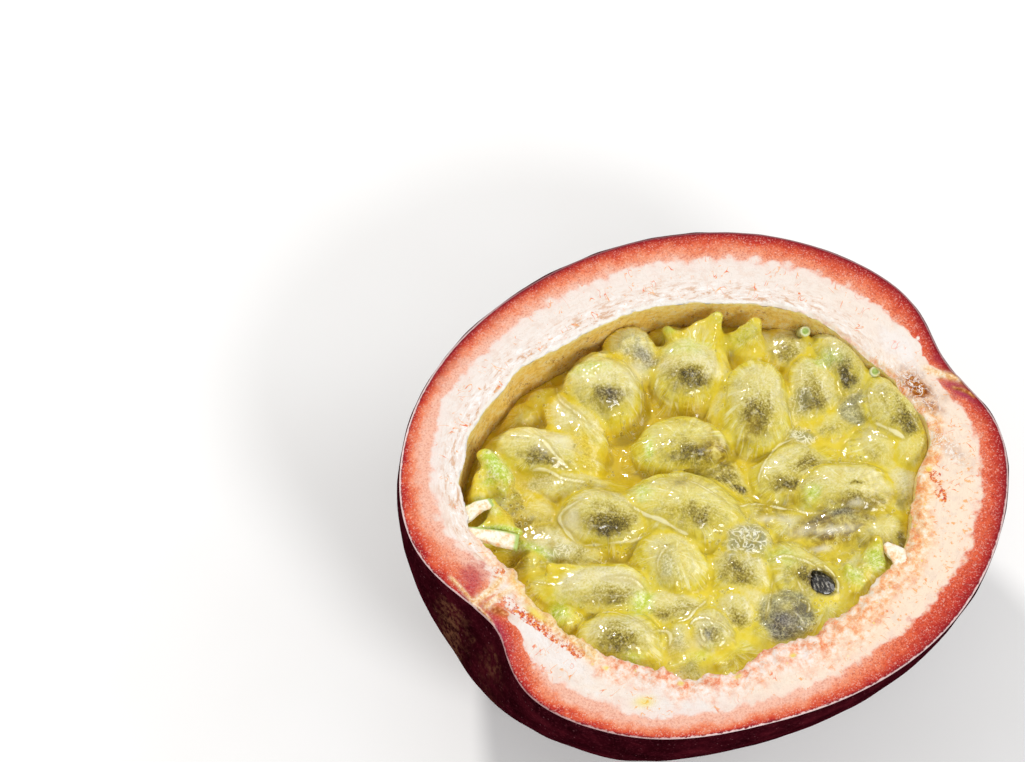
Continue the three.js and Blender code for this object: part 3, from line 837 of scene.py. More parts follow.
# Seeds that show through the arils, and a few spots of painted shade under and between arils: x, y, half
# length, half width, turn, darkness.
SEEN_DARK = [
    (-3.9, 13.1, 1.2, 0.7, -20, 0.85), (4.8, 11.4, 1.2, 0.9, -29, 0.85),
    (-13.3, 10.1, 2.4, 0.8, -44, 0.55), (0.8, 3, 2.6, 1.6, -45, 0.75), (2.9, 1.4, 2, 0.8, -35, 0.7),
    (-3.2, -3.2, 3.2, 1.2, -39, 0.55), (2.6, 0, 1.4, 0.9, -29, 0.75), (3.3, -1.8, 0.9, 0.6, -29, 0.8),
    (8.5, 4, 2.2, 1.3, 71, 0.7), (15.1, 4.1, 1.9, 1.4, 81, 0.55), (19.3, 3.9, 1.7, 1, 81, 0.8),
    (15.8, 10.2, 1.4, 1.1, 0, 0.5), (21.5, -3, 2.4, 1.1, -79, 0.75), (15.6, 0, 2, 0.8, -29, 0.4),
    (17.1, -4.9, 0.9, 0.7, 0, 0.35), (10.2, -2.8, 1.6, 0.8, -4, 0.75), (7.8, -3.9, 2, 0.9, -29, 0.6),
    (13.2, -7.2, 0.8, 0.25, -20, 0.9), (12.7, -9.2, 2.2, 0.8, -29, 0.55),
    (-10.6, 0.4, 1.6, 1.3, -29, 0.85), (-15.8, 3.6, 1.5, 1, -29, 0.4), (-14.5, -0.6, 1.1, 0.6, -29, 0.45),
    (-13.8, -7.2, 1.9, 0.9, -29, 0.5), (-16.4, -11.1, 1.5, 1.1, -29, 0.7),
    (-9.2, -11.1, 2.4, 0.7, -19, 0.55), (-2.4, -9.6, 1.5, 0.9, -65, 0.75), (2, -4.8, 1.1, 0.6, -29, 0.5),
    (-8, -15, 0.55, 0.4, -29, 0.95), (3.4, -14.1, 1.5, 0.8, -62, 0.9), (14.5, -14.5, 1.6, 0.3, 53, 0.7),
    (-20.4, 1.4, 0.9, 0.3, -40, 1), (9.4, -9.4, 2.5, 0.6, -22, 1.2), (1.3, -16.8, 1.4, 0.7, -68, 0.9),
    (-5, -14.5, 1.6, 0.9, -79, 0.6), (19, 0.6, 0.45, 0.3, -40, 0.9),
]
SEEN_GREY = [
    (1.9, 16.3, 1.7, 1.4, -60, 0.8), (-14.6, 8.5, 2.2, 0.8, -29, 0.5), (-7.9, -6.3, 2, 1.1, 60, 0.6),
    (-11.3, -14.2, 1.1, 1.1, 0, 0.6), (-11.5, -17, 1.1, 0.9, 0, 0.6), (9.3, -9.9, 2.6, 0.9, -22, 1),
    (19.6, 6.5, 1.4, 1.2, 0, 0.35), (12.7, 3.5, 1.3, 0.9, 60, 0.6), (11.4, 0.4, 1.2, 0.7, -30, 0.6),
    (0.4, -7.9, 1.9, 1.6, 0, 0.75), (-8, -15, 1.5, 1.3, -30, 0.5), (18.8, 2, 1.9, 0.9, -20, 0.55),
]
VIOLET_SPOTS = [
    (-1, -17.2, 1.9, 1.4, -20, 1), (2, 15.9, 1.7, 1.1, -60, 0.7), (-3.7, 13, 1.3, 0.8, -20, 0.5),
]
GEL_SPOTS = [
    (8.2, -10.6, 4.6, 1.9, -32, 1), (4.8, -5.2, 2.6, 1.3, -30, 0.8), (13, -10.6, 2.4, 1.2, -20, 0.6),
    (-17.4, 4.6, 2.4, 1.6, -40, 0.7), (-2.4, 0.6, 1.6, 1, -40, 0.6), (6.6, 2.6, 1.4, 1.2, 0, 0.6),
    (3.2, 2.3, 2, 1.2, -60, 1), (16.6, -10.4, 1.6, 1, 50, 0.5), (-9.4, 4.4, 1.6, 0.9, -30, 0.5),
]
# Dark yellow-brown in low hollows of the pulp and under the straps: the gel's deeper yellow, darkened by
# painted shade.
OCHRE_SHADE_SPOTS = [
    (-20.5, 1.9, 1.5, 1, -30, 1), (-17.6, 8.4, 2.2, 0.8, -50, 0.9), (-19.2, 5.6, 2, 1.4, -40, 0.8),
    (2.6, 15.4, 5, 1, -20, 0.5), (-8.6, 9.2, 2.2, 1.4, 60, 0.6), (3.6, 8.4, 1.4, 1.2, 30, 0.6),
]
FRILL_SPOTS = [(-13.6, -17, 1.2, 0.7, -30, 0.6)]
GREEN_EDGES = [
    (1, 0.35, [(-20, 7.9), (-21, 7.2), (-22.7, 5.6)]),
    (1, 0.3, [(-22.7, 5.6), (-20.6, 4.5), (-19.2, 3.6)]),
    (0.9, 0.5, [(-19.2, 3.6), (-18.4, 2.2), (-17.2, 0.4)]),
]
GREEN_SPOTS = [
    (-17.9, 10.9, 1.4, 2.4, -5, 1.1), (11.3, 16.6, 1.1, 1.1, 0, 1), (14.8, 14.6, 1, 1, 0, 1),
    (6.4, 17.5, 1.1, 0.8, 0, 0.7), (6.2, 14.6, 2.4, 1.2, -25, 0.5), (-4.2, 17.1, 2.2, 1, -30, 0.6),
    (-3.1, 5.8, 0.5, 1.1, -30, 0.9), (-6.3, 1.7, 0.9, 1, 0, 0.7), (-12, -8.6, 1, 1.6, -60, 0.9),
    (8.9, -6.2, 0.9, 0.8, 0, 0.8), (18.4, 6.8, 1.5, 0.9, -20, 0.8), (-19.9, -5.7, 1.2, 1.4, 0, 0.9),
    (-16.4, -13.8, 1.2, 0.8, 0, 0.8), (10.6, -15.7, 1.3, 1.4, 0, 1), (7.7, -16, 1, 1.3, 30, 0.8),
    (2.6, -10.9, 1.6, 1.1, -30, 0.6), (-19.4, 3, 0.6, 1.5, 60, 0.8), (-20.7, 7.4, 0.6, 1.4, 10, 0.8),
    (12.2, 13.1, 1.5, 1, 0, 0.4), (-9.8, -16.4, 1, 0.7, 0, 0.4),
]
FILM_SPOTS = [
    (5.4, -7.2, 1.3, 0.7, -30, 0.7), (6.5, -9.1, 1.2, 0.5, -20, 0.6), (-13.9, 2.5, 0.8, 1.6, -10, 0.6),
    (0.5, 14.6, 1, 1.4, -30, 0.5), (-10.5, 10.9, 1.8, 0.7, -50, 0.5), (-12.2, 10.5, 1.2, 0.6, -40, 0.6),
    (-9.3, -15.2, 0.9, 0.6, 0, 0.5), (-13.1, -5.9, 2, 0.5, -35, 0.5), (9, -10.5, 2.3, 0.35, -22, 0.8),
    (7, -11.6, 0.9, 0.35, -20, 0.8), (4, -6.2, 1, 0.4, -30, 0.8), (12.2, -9.2, 0.8, 0.3, -20, 0.7),
]
STRAND_SPOTS = [
    (0.4, -7.9, 2.1, 1.8, 0, 1), (12, 0.6, 1.5, 0.9, -30, 0.9), (14.2, 4.2, 1.2, 1, 40, 0.6),
    (-16.4, 0.4, 1.5, 0.7, -20, 0.6),
]
# Spots on the upper side of the pulp, with their edge noise, grain, shift and fall.
PULP_SPOTS = {
    "dark": (SEEN_DARK, 0.25, 1.3, 0.5, 0.9), "halo": (wider(SEEN_DARK, 2.1), 0.3, 0.9, 0.5, 1.0),
    "strand": (STRAND_SPOTS, 0.3, 1.3, 0.0, 2.0), "grey": (SEEN_GREY, 0.3, 1.3, 0.5),
    "violet": (VIOLET_SPOTS, 0.3, 1.3, 0.4), "gel": (GEL_SPOTS, 0.5, 0.9, 0.6),
    "patches": (FILM_SPOTS, 0.35, 1.6),
}
# Lit edges of folds and skins on the pulp: strength, width, path.
FOLDS = [
    (0.7, 0.22, [(-1.6, 16.6), (-0.4, 14.8), (-0.2, 13.1), (-0.4, 11.9), (-2.7, 7.9)]),
    (0.6, 0.2, [(-6.5, 18.6), (-8.1, 15.5), (-7.3, 12.8), (-6.7, 10.8)]),
    (0.9, 0.25, [(-12.2, 12), (-12, 9.3), (-10.6, 7.4)]),
    (0.7, 0.2, [(-14.9, 10), (-12.9, 8.6), (-11.7, 6.6), (-9, 5.2)]),
    (0.5, 0.2, [(-0.5, 7.6), (1.5, 7.1), (2.5, 5.5)]),
    (0.7, 0.2, [(2.4, 10.3), (2.6, 9.1), (3.2, 6.6), (5.5, 7.1)]),
    (0.6, 0.25, [(-0.8, 9.8), (0.5, 11.8), (1.5, 12), (2.3, 13.1)]),
    (0.9, 0.16, [(5, -3), (5.5, -1.5), (7.4, -0.3), (9.2, 0.8), (11.6, 0.5)]),
    (1, 0.16, [(5.9, -2), (6.1, -2.7)]),
    (1, 0.25, [(18.7, -1.8), (19.3, -3.1), (20.1, -4.5), (20.4, -5.4)]),
    (0.6, 0.18, [(17.8, -1.8), (18.5, -3.6), (19.5, -4.7)]),
    (0.5, 0.18, [(21, 2.1), (19.7, 0.7), (19, -1.7)]),
    (0.6, 0.18, [(10.2, -3.1), (13.9, -3.6), (15.9, -5.5), (17.5, -7.7)]),
    (0.6, 0.16, [(12.6, 4.2), (11.4, 2.5), (12.2, 1.4), (13.3, 0.5)]),
    (0.5, 0.16, [(18.4, 4.5), (17.7, 3.5), (17.5, 2.8)]),
    (0.9, 0.2, [(-11.8, 3.4), (-13.4, 3.8), (-14.5, 4), (-14.7, 2.6), (-14.5, 0.9), (-14.2, 0.1)]),
    (0.5, 0.2, [(-14.2, 0.1), (-11.4, -1.6), (-8.9, -2.2), (-7, -2.5)]),
    (1, 0.2, [(-8.3, 1.4), (-7.5, -0.5), (-6.2, -2.1), (-5.2, -3.9), (-4, -5.1)]),
    (0.5, 0.16, [(-5.5, 2.2), (-2.9, 1.8), (-1.2, -0.2), (0.1, -2.5), (0.7, -4.2)]),
    (0.7, 0.2, [(-6.2, -4.8), (-8.4, -5.3), (-9.2, -6.6), (-9, -7.9), (-7.7, -8.8)]),
    (0.5, 0.3, [(-15.1, -5), (-13.7, -5.4), (-12.2, -6), (-11.3, -7.2), (-11.1, -8)]),
    (0.7, 0.16, [(-17.9, -7.9), (-16.4, -7.7), (-14.5, -8.7), (-13.8, -10.8), (-12.9, -12.7)]),
    (1, 0.14, [(-5.7, -10.9), (-8, -12), (-9.3, -12.6), (-10.6, -11.9)]),
    (0.9, 0.16, [(-9.6, -13.4), (-8.7, -12.8), (-7.7, -13.3), (-6.8, -14.7), (-6.3, -16.1), (-6.4, -17.1)]),
    (0.8, 0.2, [(-13.3, -12.4), (-11.5, -11.8), (-11.3, -13.2), (-12.3, -14.2)]),
    (0.8, 0.16, [(-20.5, -1.7), (-19.7, -2.2), (-19.1, -3.1)]),
    (0.9, 0.18, [(1.1, -3.8), (3.6, -3.9), (5.3, -5), (6.8, -6.3), (7.8, -7.6), (8.9, -8.4)]),
    (0.9, 0.2, [(1.3, -10.7), (2.9, -11.1), (4.2, -12.8), (5.3, -14.8), (5.6, -16.3), (5, -16.6)]),
    (0.7, 0.16, [(2.8, -12.5), (2.4, -13.8), (2.5, -15.7)]),
    (1, 0.14, [(1.8, -15.8), (2.4, -16.3), (2.2, -17), (1.7, -17.2)]),
    (0.6, 0.16, [(-2.3, -16), (-0.5, -13.9), (0.9, -12.1)]),
    (0.8, 0.2, [(5.4, -13.6), (6.1, -14.7), (6.1, -16), (5.4, -16.9)]),
    (1, 0.13, [(-0.4, -6.8), (-0.6, -8.2)]), (1, 0.13, [(0.4, -6.9), (-0.3, -8.3)]),
    (1, 0.13, [(1.1, -7.3), (0.1, -8.5)]), (1, 0.13, [(1.7, -8), (0.4, -8.8)]),
    (0.8, 0.13, [(-1.1, -8.3), (-0.5, -8.8)]), (1, 0.13, [(-8.4, -14.2), (-9, -14.6), (-8.9, -15.6)]),
    (0.8, 0.13, [(-7.5, -14.9), (-8.3, -15.5)]), (0.8, 0.13, [(-7.4, -15.6), (-8.2, -15.9)]),
]


def smooth_min(first, second, reach):
    """The smaller of two distances, rounded where they are nearly the same."""
    share = np.clip(0.5 + 0.5 * (second - first) / reach, 0.0, 1.0)
    return second + (first - second) * share - reach * share * (1 - share)


def aril_frame(aril):
    """Middle, axes and half sizes of an aril."""
    x, y, below, length, width, turn = aril
    turn = math.radians(turn)
    axes = np.array([[math.cos(turn), math.sin(turn), 0], [-math.sin(turn), math.cos(turn), 0], [0, 0, 1.0]])
    centre = np.array([x, y, CUT_HEIGHT - below - width * 0.2])
    return centre, axes, np.array([length, width, width * 0.9]) / 2.0


def oval_distance(local, half):
    """Rough distance from an oval's surface, negative inside it."""
    k0 = np.linalg.norm(local / half, axis=-1)
    return k0 * (k0 - 1.0) / (np.linalg.norm(local / half ** 2, axis=-1) + 1e-9)


def aril_distance(points, aril, index):
    """Rough distance from an aril's bent and wrinkled surface, and the points in the aril's own axes."""
    centre, axes, half = aril_frame(aril)
    local = (points - centre) @ axes.T
    distance = oval_distance(local, half)
    near = distance < NEAR_ARIL
    close = local[near]
    bend = np.stack([lattice_noise(close / 2.6 + 5.3 * index, 31 + i) for i in range(3)], -1)
    wrinkles = lattice_noise(close * np.array([0.35, 1.6, 1.6]) + 17.0 * index, 41 + index)
    lumps = lattice_noise(close * 0.45 + 7.0 * index, 91 + index)
    uneven = oval_distance(close + ARIL_BEND * bend, half) + WRINKLE_HEIGHT * wrinkles
    distance[near] = uneven + LUMP_HEIGHT * lumps
    return distance, local


def shred_ends(shred):
    """Tip and root of a scrap of aril."""
    return np.array(shred)[:, :3] * [1, 1, -1] + [0, 0, CUT_HEIGHT]


def shred_distance(points, shred):
    """Rough distance from a scrap of aril that widens from its tip to its root."""
    (tip, root), (thin, thick) = shred_ends(shred), np.array(shred)[:, 3]
    along = np.clip((points - tip) @ (root - tip) / ((root - tip) @ (root - tip)), 0, 1)
    off = np.linalg.norm(points - tip - along[..., None] * (root - tip), axis=-1)
    return off - thin - (thick - thin) * along + 0.2 * lattice_noise(points * 0.9, 57)


def room_distance(points):
    """Rough distance from the cavity's wall, negative inside it."""
    rel = points - np.array([0, 0, CUT_HEIGHT])
    flat = np.hypot(rel[..., 0], rel[..., 1])
    down = np.degrees(np.arctan2(np.maximum(-rel[..., 2], 0.0), flat))
    rel = rel - lean(down)
    angle = np.degrees(np.arctan2(rel[..., 1], rel[..., 0]))
    above = np.where(rel[..., 2] > 0, np.hypot(rel[..., 0], rel[..., 1]), np.linalg.norm(rel, axis=-1))
    return above - cavity_radius(angle, down) - OVERLAP


def core_height(x, y):
    turn = math.radians(SINK_TURN)
    along = x * math.cos(turn) + y * math.sin(turn)
    return CUT_HEIGHT - CORE_BELOW - along * math.tan(math.radians(CORE_SLOPE))


def pulp_field():
    """Distance field of the pulp on a grid: negative inside."""
    length, width = GRID_REACH
    low = np.array([-length, -width, CUT_HEIGHT - PULP_DEPTH])
    high = np.array([length, width, CUT_HEIGHT + GRID_TOP])
    axes = [np.arange(low[i], high[i] + PULP_GRID, PULP_GRID) for i in range(3)]
    x, y, z = np.meshgrid(*axes, indexing="ij")
    every = np.stack([x, y, z], -1)
    field = z - core_height(x, y) - GEL_RISE - 0.3 * lattice_noise(every / 2.0, 71)
    shapes = [(aril_frame(aril)[0], aril_frame(aril)[2].max(), aril) for aril in ARILS + SEEDS]
    for shred in SHREDS:
        ends = shred_ends(shred)
        shapes.append((ends.mean(axis=0), np.ptp(ends, axis=0).max() / 2 + shred[1][3], shred))
    for index, (centre, reach, shape) in enumerate(shapes):
        span = (reach + SPARE) * np.array([-1, 1])
        near = tuple(slice(*np.searchsorted(axes[i], centre[i] + span)) for i in range(3))
        if len(shape) == len(ARILS[0]):
            distance = aril_distance(every[near], shape, index)[0]
        else:
            distance = shred_distance(every[near], shape)
        field[near] = smooth_min(field[near], distance, MERGE)
    for window in WINDOWS:
        field = np.maximum(field, -aril_distance(every, window, WINDOW_NUMBER)[0])
    field = np.maximum(field, room_distance(every))
    return field, low


def surface_nets(field, low, step):
    """Points and four-sided faces of the zero surface of a field on a grid."""
    inside = field < 0
    corners = list(np.ndindex(2, 2, 2))
    shape = tuple(n - 1 for n in field.shape)
    count = np.zeros(shape, np.int8)
    for i, j, k in corners:
        count += inside[i:i + shape[0], j:j + shape[1], k:k + shape[2]]
    cells = np.argwhere((count > 0) & (count < 8))
    total, hits = np.zeros((len(cells), 3)), np.zeros(len(cells))
    for start in corners:
        for axis in range(3):
            if start[axis]:
                continue
            end = list(start)
            end[axis] = 1
            near, far = field[tuple((cells + start).T)], field[tuple((cells + end).T)]
            crossing = (near < 0) != (far < 0)
            share = np.where(crossing, near / np.where(crossing, near - far, 1.0), 0.0)
            place = cells + np.array(start, float)
            place[:, axis] += share
            total += np.where(crossing[:, None], place, 0.0)
            hits += crossing
    points = total / hits[:, None] * step + low
    number = np.full(shape, -1, np.int32)
    number[tuple(cells.T)] = np.arange(len(cells))
    faces = []
    for axis in range(3):
        one, two = (axis + 1) % 3, (axis + 2) % 3
        edges = np.argwhere(np.diff(inside, axis=axis))
        edges = edges[(edges[:, one] > 0) & (edges[:, two] > 0)]
        edges = edges[(edges[:, one] < shape[one]) & (edges[:, two] < shape[two])]
        goes_out = inside[tuple(edges.T)]
        quad = []
        for back_one, back_two in ((1, 1), (0, 1), (0, 0), (1, 0)):
            cell = edges.copy()
            cell[:, one] -= back_one
            cell[:, two] -= back_two
            quad.append(number[tuple(cell.T)])
        quad = np.stack(quad, -1)
        faces.append(np.where(goes_out[:, None], quad, quad[:, ::-1]))
    return points, np.concatenate(faces)


def close_below(points, faces, rings=7):
    """Carries the open lower edge of the pulp down along the cavity's wall to its bottom."""
    edges = np.concatenate([faces[:, [i, (i + 1) % 4]] for i in range(4)])
    known = {tuple(edge) for edge in edges.tolist()}
    after = {b: a for a, b in known if (b, a) not in known}
    loop = [next(iter(after))]
    while after[loop[-1]] != loop[0]:
        loop.append(after[loop[-1]])
    rel = points[loop] - np.array([0, 0, CUT_HEIGHT])
    start = np.degrees(np.arctan2(-rel[:, 2], np.hypot(rel[:, 0], rel[:, 1])))
    angle = np.degrees(np.arctan2(*(rel - lean(start))[:, 1::-1].T))
    made, new_faces, above = [points], [], np.array(loop)
    for ring in range(1, rings + 1):
        down = start + (LOWEST - start) * ring / rings
        radius = cavity_radius(angle, down) + OVERLAP
        made.append(on_fruit(angle, down, radius))
        below = np.arange(len(loop)) + sum(len(part) for part in made[:-1])
        new_faces += list(np.stack([above, np.roll(above, -1), np.roll(below, -1), below], -1))
        above = below
    made.append(made[-1].mean(axis=0, keepdims=True))
    tip = np.full(len(loop), above[-1] + 1)
    new_faces += list(np.stack([above, np.roll(above, -1), tip], -1))
    return np.concatenate(made), list(faces) + new_faces


def build_pulp():
    field, low = pulp_field()
    points, faces = surface_nets(field, low, PULP_GRID)
    points, faces = close_below(points, faces)
    marks = pulp_marks(points)
    piece = new_object("arils", points, faces, marks)
    normals = np.empty(len(points) * 3, np.float32)
    piece.data.vertices.foreach_get("normal", normals)
    wrinkles = crests(marks["grain"] * np.array([0.5, 1.5, 1.5]), 151)
    wrinkles = wrinkles * marks["calm"] + 0.6 * crests(points * 1.7, 153)
    ridges = crests(marks["flank"] * 1.3, 155)
    lift = FOLD_LIFT * np.exp(-marks["fold"] ** 2) + FINE_LIFT * wrinkles * marks["above"]
    lift = lift + RIDGE_LIFT * ridges * marks["calm"] * (1.0 - marks["seed"]) * marks["above"]
    raised = points + normals.reshape(-1, 3) * lift[:, None]
    piece.data.vertices.foreach_set("co", (raised * MM).astype(np.float32).ravel())
    piece.data.update()
    piece.data.materials.append(pulp_material())
    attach(piece, "root")
    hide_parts("pulp")


def fold_distance(points):
    """Distance from the nearest fold as a share of its width; the folds run out to nothing at both ends."""
    nearest = np.full(len(points), FAR_FOLD)
    for strength, width, path in FOLDS:
        off, share = path_distance(points, path)
        fading = 0.8 * (1.0 - strength) + 1.2 * (2.0 * share - 1.0) ** 6
        nearest = np.minimum(nearest, off / width + fading)
    return nearest


def pulp_marks(points):
    """What the pulp's material needs at each point: places in the nearest aril, and amounts from 0 to 1."""
    distances = np.empty((len(points), len(ARILS)))
    flat = np.empty((len(points), len(ARILS), 2), np.float32)
    grain = np.empty((len(points), len(ARILS), 3), np.float32)
    shade_side_share = np.empty((len(points), len(ARILS)), np.float32)
    for index, aril in enumerate(ARILS):
        distances[:, index], local = aril_distance(points, aril, index)
        grain[:, index] = local + 11.0 * index
        flat[:, index] = local[:, :2] / aril_frame(aril)[2][:2]
        turn = math.radians(PAINTED_SHADE_SIDE - aril[5])
        shade_side_share[:, index] = flat[:, index] @ np.array([math.cos(turn), math.sin(turn)])
    rows = np.arange(len(points))
    nearest, second = np.argsort(distances, axis=1)[:, :2].T
    apart = distances[rows, second] - distances[rows, nearest]
    off = smooth(distances[rows, nearest] / 0.7)
    flat = flat[rows, nearest]
    middle = np.linalg.norm(flat, axis=1)
    flank = np.concatenate([flat / (middle[:, None] + 0.05) * 2.2, 0.5 * middle[:, None]], 1)
    widths = np.array([aril[4] for aril in ARILS])
    strength = np.random.default_rng(7).uniform(0.5, 1.0, len(ARILS)) * smooth((widths - 3.0) / 1.4)
    seed = smooth((1.0 - middle) / 0.4) * strength[nearest] * (1 - off)
    above = smooth((points[:, 2] - (CUT_HEIGHT - 6.0)) / 2.0)
    veiled = np.min([aril_distance(points, bare, SEED_NUMBER)[0] for bare in SEEDS], axis=0)
    holes = [np.abs(aril_distance(points, gap, WINDOW_NUMBER)[0]) for gap in WINDOWS]
    green = np.maximum(spot_mask(points, GREEN_SPOTS, 0.3), strokes_mask(points, GREEN_EDGES))
    return {
        "grain": grain[rows, nearest], "mm": points, "above": above,
        "fold": fold_distance(points) + FAR_FOLD * (1 - above),
        "calm": smooth((apart - 0.25) / 0.8), "valley": np.maximum(np.exp(-apart / 0.5), off),
        "flank": flank + nearest[:, None] * np.array([7.1, 3.3, 5.7]),
        # under: painted shade over the seed on the side of each aril away from the key light
        "seed": seed, "under": seed * smooth((shade_side_share[rows, nearest] + 0.05) / 0.8),
        # low: darker yellow low in the pulp, painted shade
        "veiled": smooth(1.0 - veiled / 0.8), "low": smooth((CUT_HEIGHT - points[:, 2] - 2.6) / 2.2),
        # hollow: the walls of the holes round the bare seed and of the crack, darkened as painted shade
        "hollow": smooth(1.3 - np.min(holes, axis=0) / 0.3), "green": green * above,
        "ochre": spot_mask(points, OCHRE_SHADE_SPOTS, 0.5, 0.9, 0.4), "frill": spot_mask(points, FRILL_SPOTS, 0.3),
        **{name: spot_mask(points, *spots) * above for name, spots in PULP_SPOTS.items()},
    }


def sac_colour(made, cloud, stipple, streaks, calm):
    """Yellow skin of the sacs, deeper between them, with painted shade low down and in the dark hollows."""
    mark, mix, step = made.mark, made.mix, made.step
    sac = made.ramp(cloud, (0.3, "#d2bc28"), (0.45, "#e0ce3c"), (0.6, "#e6da62"), (0.75, "#efe8aa"))
    sac = mix(step(streaks, 0.52, 0.66) * calm, sac, "#f6f0ac")
    sac = mix(step(streaks, 0.46, 0.34) * calm * 0.6, sac, "#b39d10")
    sac = mix(mark("valley") * 0.5, sac, "#e4c81a")
    # darker yellow low down: painted shade
    sac = mix(mark("low") * 0.55, sac, "#dcb81c")
    # dark yellow-brown in the low hollows and under the straps: painted shade over the gel's deeper yellow
    ochre = made.ramp(stipple, (0.36, "#a5801a"), (0.5, "#ceaa2a"), (0.64, "#e8d264"))
    return mix(mark("ochre") * 0.8, sac, ochre)


def seed_colour(made, cloud, stipple, fibres, dark):
    """From pale skin over the seed to the dark seed itself, broken up by fine dots and fibres."""
    mark, mix, step = made.mark, made.mix, made.step
    uneven = (stipple * 1.7 + (fibres * 0.35 - 1.02)) * (dark * -0.75 - 0.4)
    # the under mark adds painted shade on the side of each seed away from the key light
    depth = mark("under") * 0.4 + (cloud * 0.6 - 0.18) + mark("halo") * 0.34 + dark * 0.45
    flesh = made.ramp(
        depth + uneven,
        (0, "#efe8ca"), (0.18, "#e2daaa"), (0.38, "#cec274"), (0.56, "#ac9b42"), (0.76, "#7e6e24"),
        (1, "#4a3e14"))
    mottle = made.noise(made.place(), 2.3, 3, 0.7, 0.4)
    flesh = mix(step(mottle, 0.46, 0.34) * 0.35, flesh, "#b7a53a")
    flesh = mix(step(mottle, 0.55, 0.68) * 0.3, flesh, "#f6f1dc")
    return mix(step(fibres, 0.56, 0.72) * 0.35, flesh, "#faf5d2")


def pulp_material():
    """Yellow sacs round seeds that show grey green through them, with pale folds that carry painted
    highlights and painted shade beside them, and green scraps.
    """
    made = Shader("pulp")
    mark, mix, noise, step = made.mark, made.mix, made.noise, made.step
    place, flank, calm, dark = made.place(), made.place("flank"), mark("calm"), mark("dark")
    fibres = noise(made.place("grain", (0.3, 2.4, 2.4)), 1, 4, 0.65)
    streaks = noise(flank, 2.2, 4, 0.7)
    stipple = noise(place, 4.6, 2, 0.75)
    cloud = noise(place, 0.8, 4, 0.65)
    inside = (mark("seed") + (cloud * 1.6 - 0.95) + mark("ochre") * -0.9 + dark * 1.2).clamped()
    sac = sac_colour(made, cloud, stipple, streaks, calm)
    base = mix(inside, sac, seed_colour(made, cloud, stipple, fibres, dark))
    knots = abs(noise(place, 0.9, 2, 0.6, 1.2) - 0.5)
    veiled = stipple * 0.5 + noise(place, 0.6, 3, 0.6) * 0.6 + dark * -0.15
    for name, weight, value, *stops in (
            ("green", 0.9, noise(place, 2.2, 4, 0.75),
             (0.36, "#9fbb22"), (0.5, "#c8dc62"), (0.64, "#f4f9d2")),
            ("grey", 0.8, stipple, (0.36, "#6f6c4c"), (0.52, "#b4b08c"), (0.66, "#e6e2c8")),
            ("veiled", 0.9, veiled,
             (0.42, "#5b5750"), (0.5, "#848168"), (0.57, "#aca87c"), (0.66, "#d8d4a8")),
            ("violet", 0.85, fibres * 0.5 + stipple * 0.5,
             (0.38, "#2e2a2c"), (0.48, "#5a5558"), (0.56, "#8c8784"), (0.66, "#c4bfb4")),
            ("gel", 0.95, noise(place, 0.9, 4, 0.7, 0.6),
             (0.36, "#624c04"), (0.46, "#8c7010"), (0.55, "#b69c26"), (0.64, "#dccb6a")),
            ("strand", 0.85, knots,
             (0, "#fffef4"), (0.025, "#f0edd0"), (0.05, "#b4b088"), (0.12, "#8a865c"))):
        base = mix(mark(name) * weight, base, made.ramp(value, *stops))
    # painted shade on the walls of the holes and the crack
    base = mix(mark("hollow") * 0.85, base, "#584416")
    base = mix(mark("patches") * 0.8, base, "#efead2")
    base = mix(mark("frill"), base, made.ramp(stipple, (0.38, "#f4b48c"), (0.5, "#fbdfcc"), (0.6, "#fff6ee")))
    # small bubbles with rings of painted highlight, and thin veins in the gel between the seeds
    bubble = made.cells(place, 1.7)
    loose = step(inside, 0.6, 0.1) * step(noise(place, 0.45), 0.5, 0.6)
    base = mix(step(bubble, 0.34, 0.28) * step(bubble, 0.18, 0.26) * loose * 0.6, base, "#faf3b8")
    vein = step(abs(noise(flank, 1.5, 3, 0.6, 0.4) - 0.5), 0.014, 0.004)
    calm = calm * (mark("seed") * -1.6 + 1.1).clamped()
    base = mix(vein * calm * 0.5, base, "#f8f2bc")
    broken = made.math("MAXIMUM", noise(place, 0.5, 2, 0.6) * 2.4 - 1.1, -0.2)
    fold = mark("fold") + broken
    # painted shade in a band beside each fold, and a painted highlight along its pale edge
    base = mix(step(fold, 2.6, 1.3) * 0.4, base, "#b5a01c")
    base = mix(step(fold, 1.1, 0.35) * 0.75, base, "#faf4c4")
    relief = (fibres + streaks) * calm + (step(bubble, 0.34, 0) * loose * 1.2 + stipple * 0.3)
    wet = streaks * calm * 0.25 + noise(place, 0.9, 1, 0.5)
    return made.finish(
        Base_Color=base, Roughness=0.35, Normal=made.bump(relief, 0.14), Specular_IOR_Level=0.12,
        Subsurface_Weight=0.2, Subsurface_Radius=(1, 0.9, 0.25), Subsurface_Scale=0.6 * MM,
        Coat_Weight=0.8, Coat_Roughness=0.08, Coat_Normal=made.bump(wet, 0.2))


# ---- Bare seeds ----


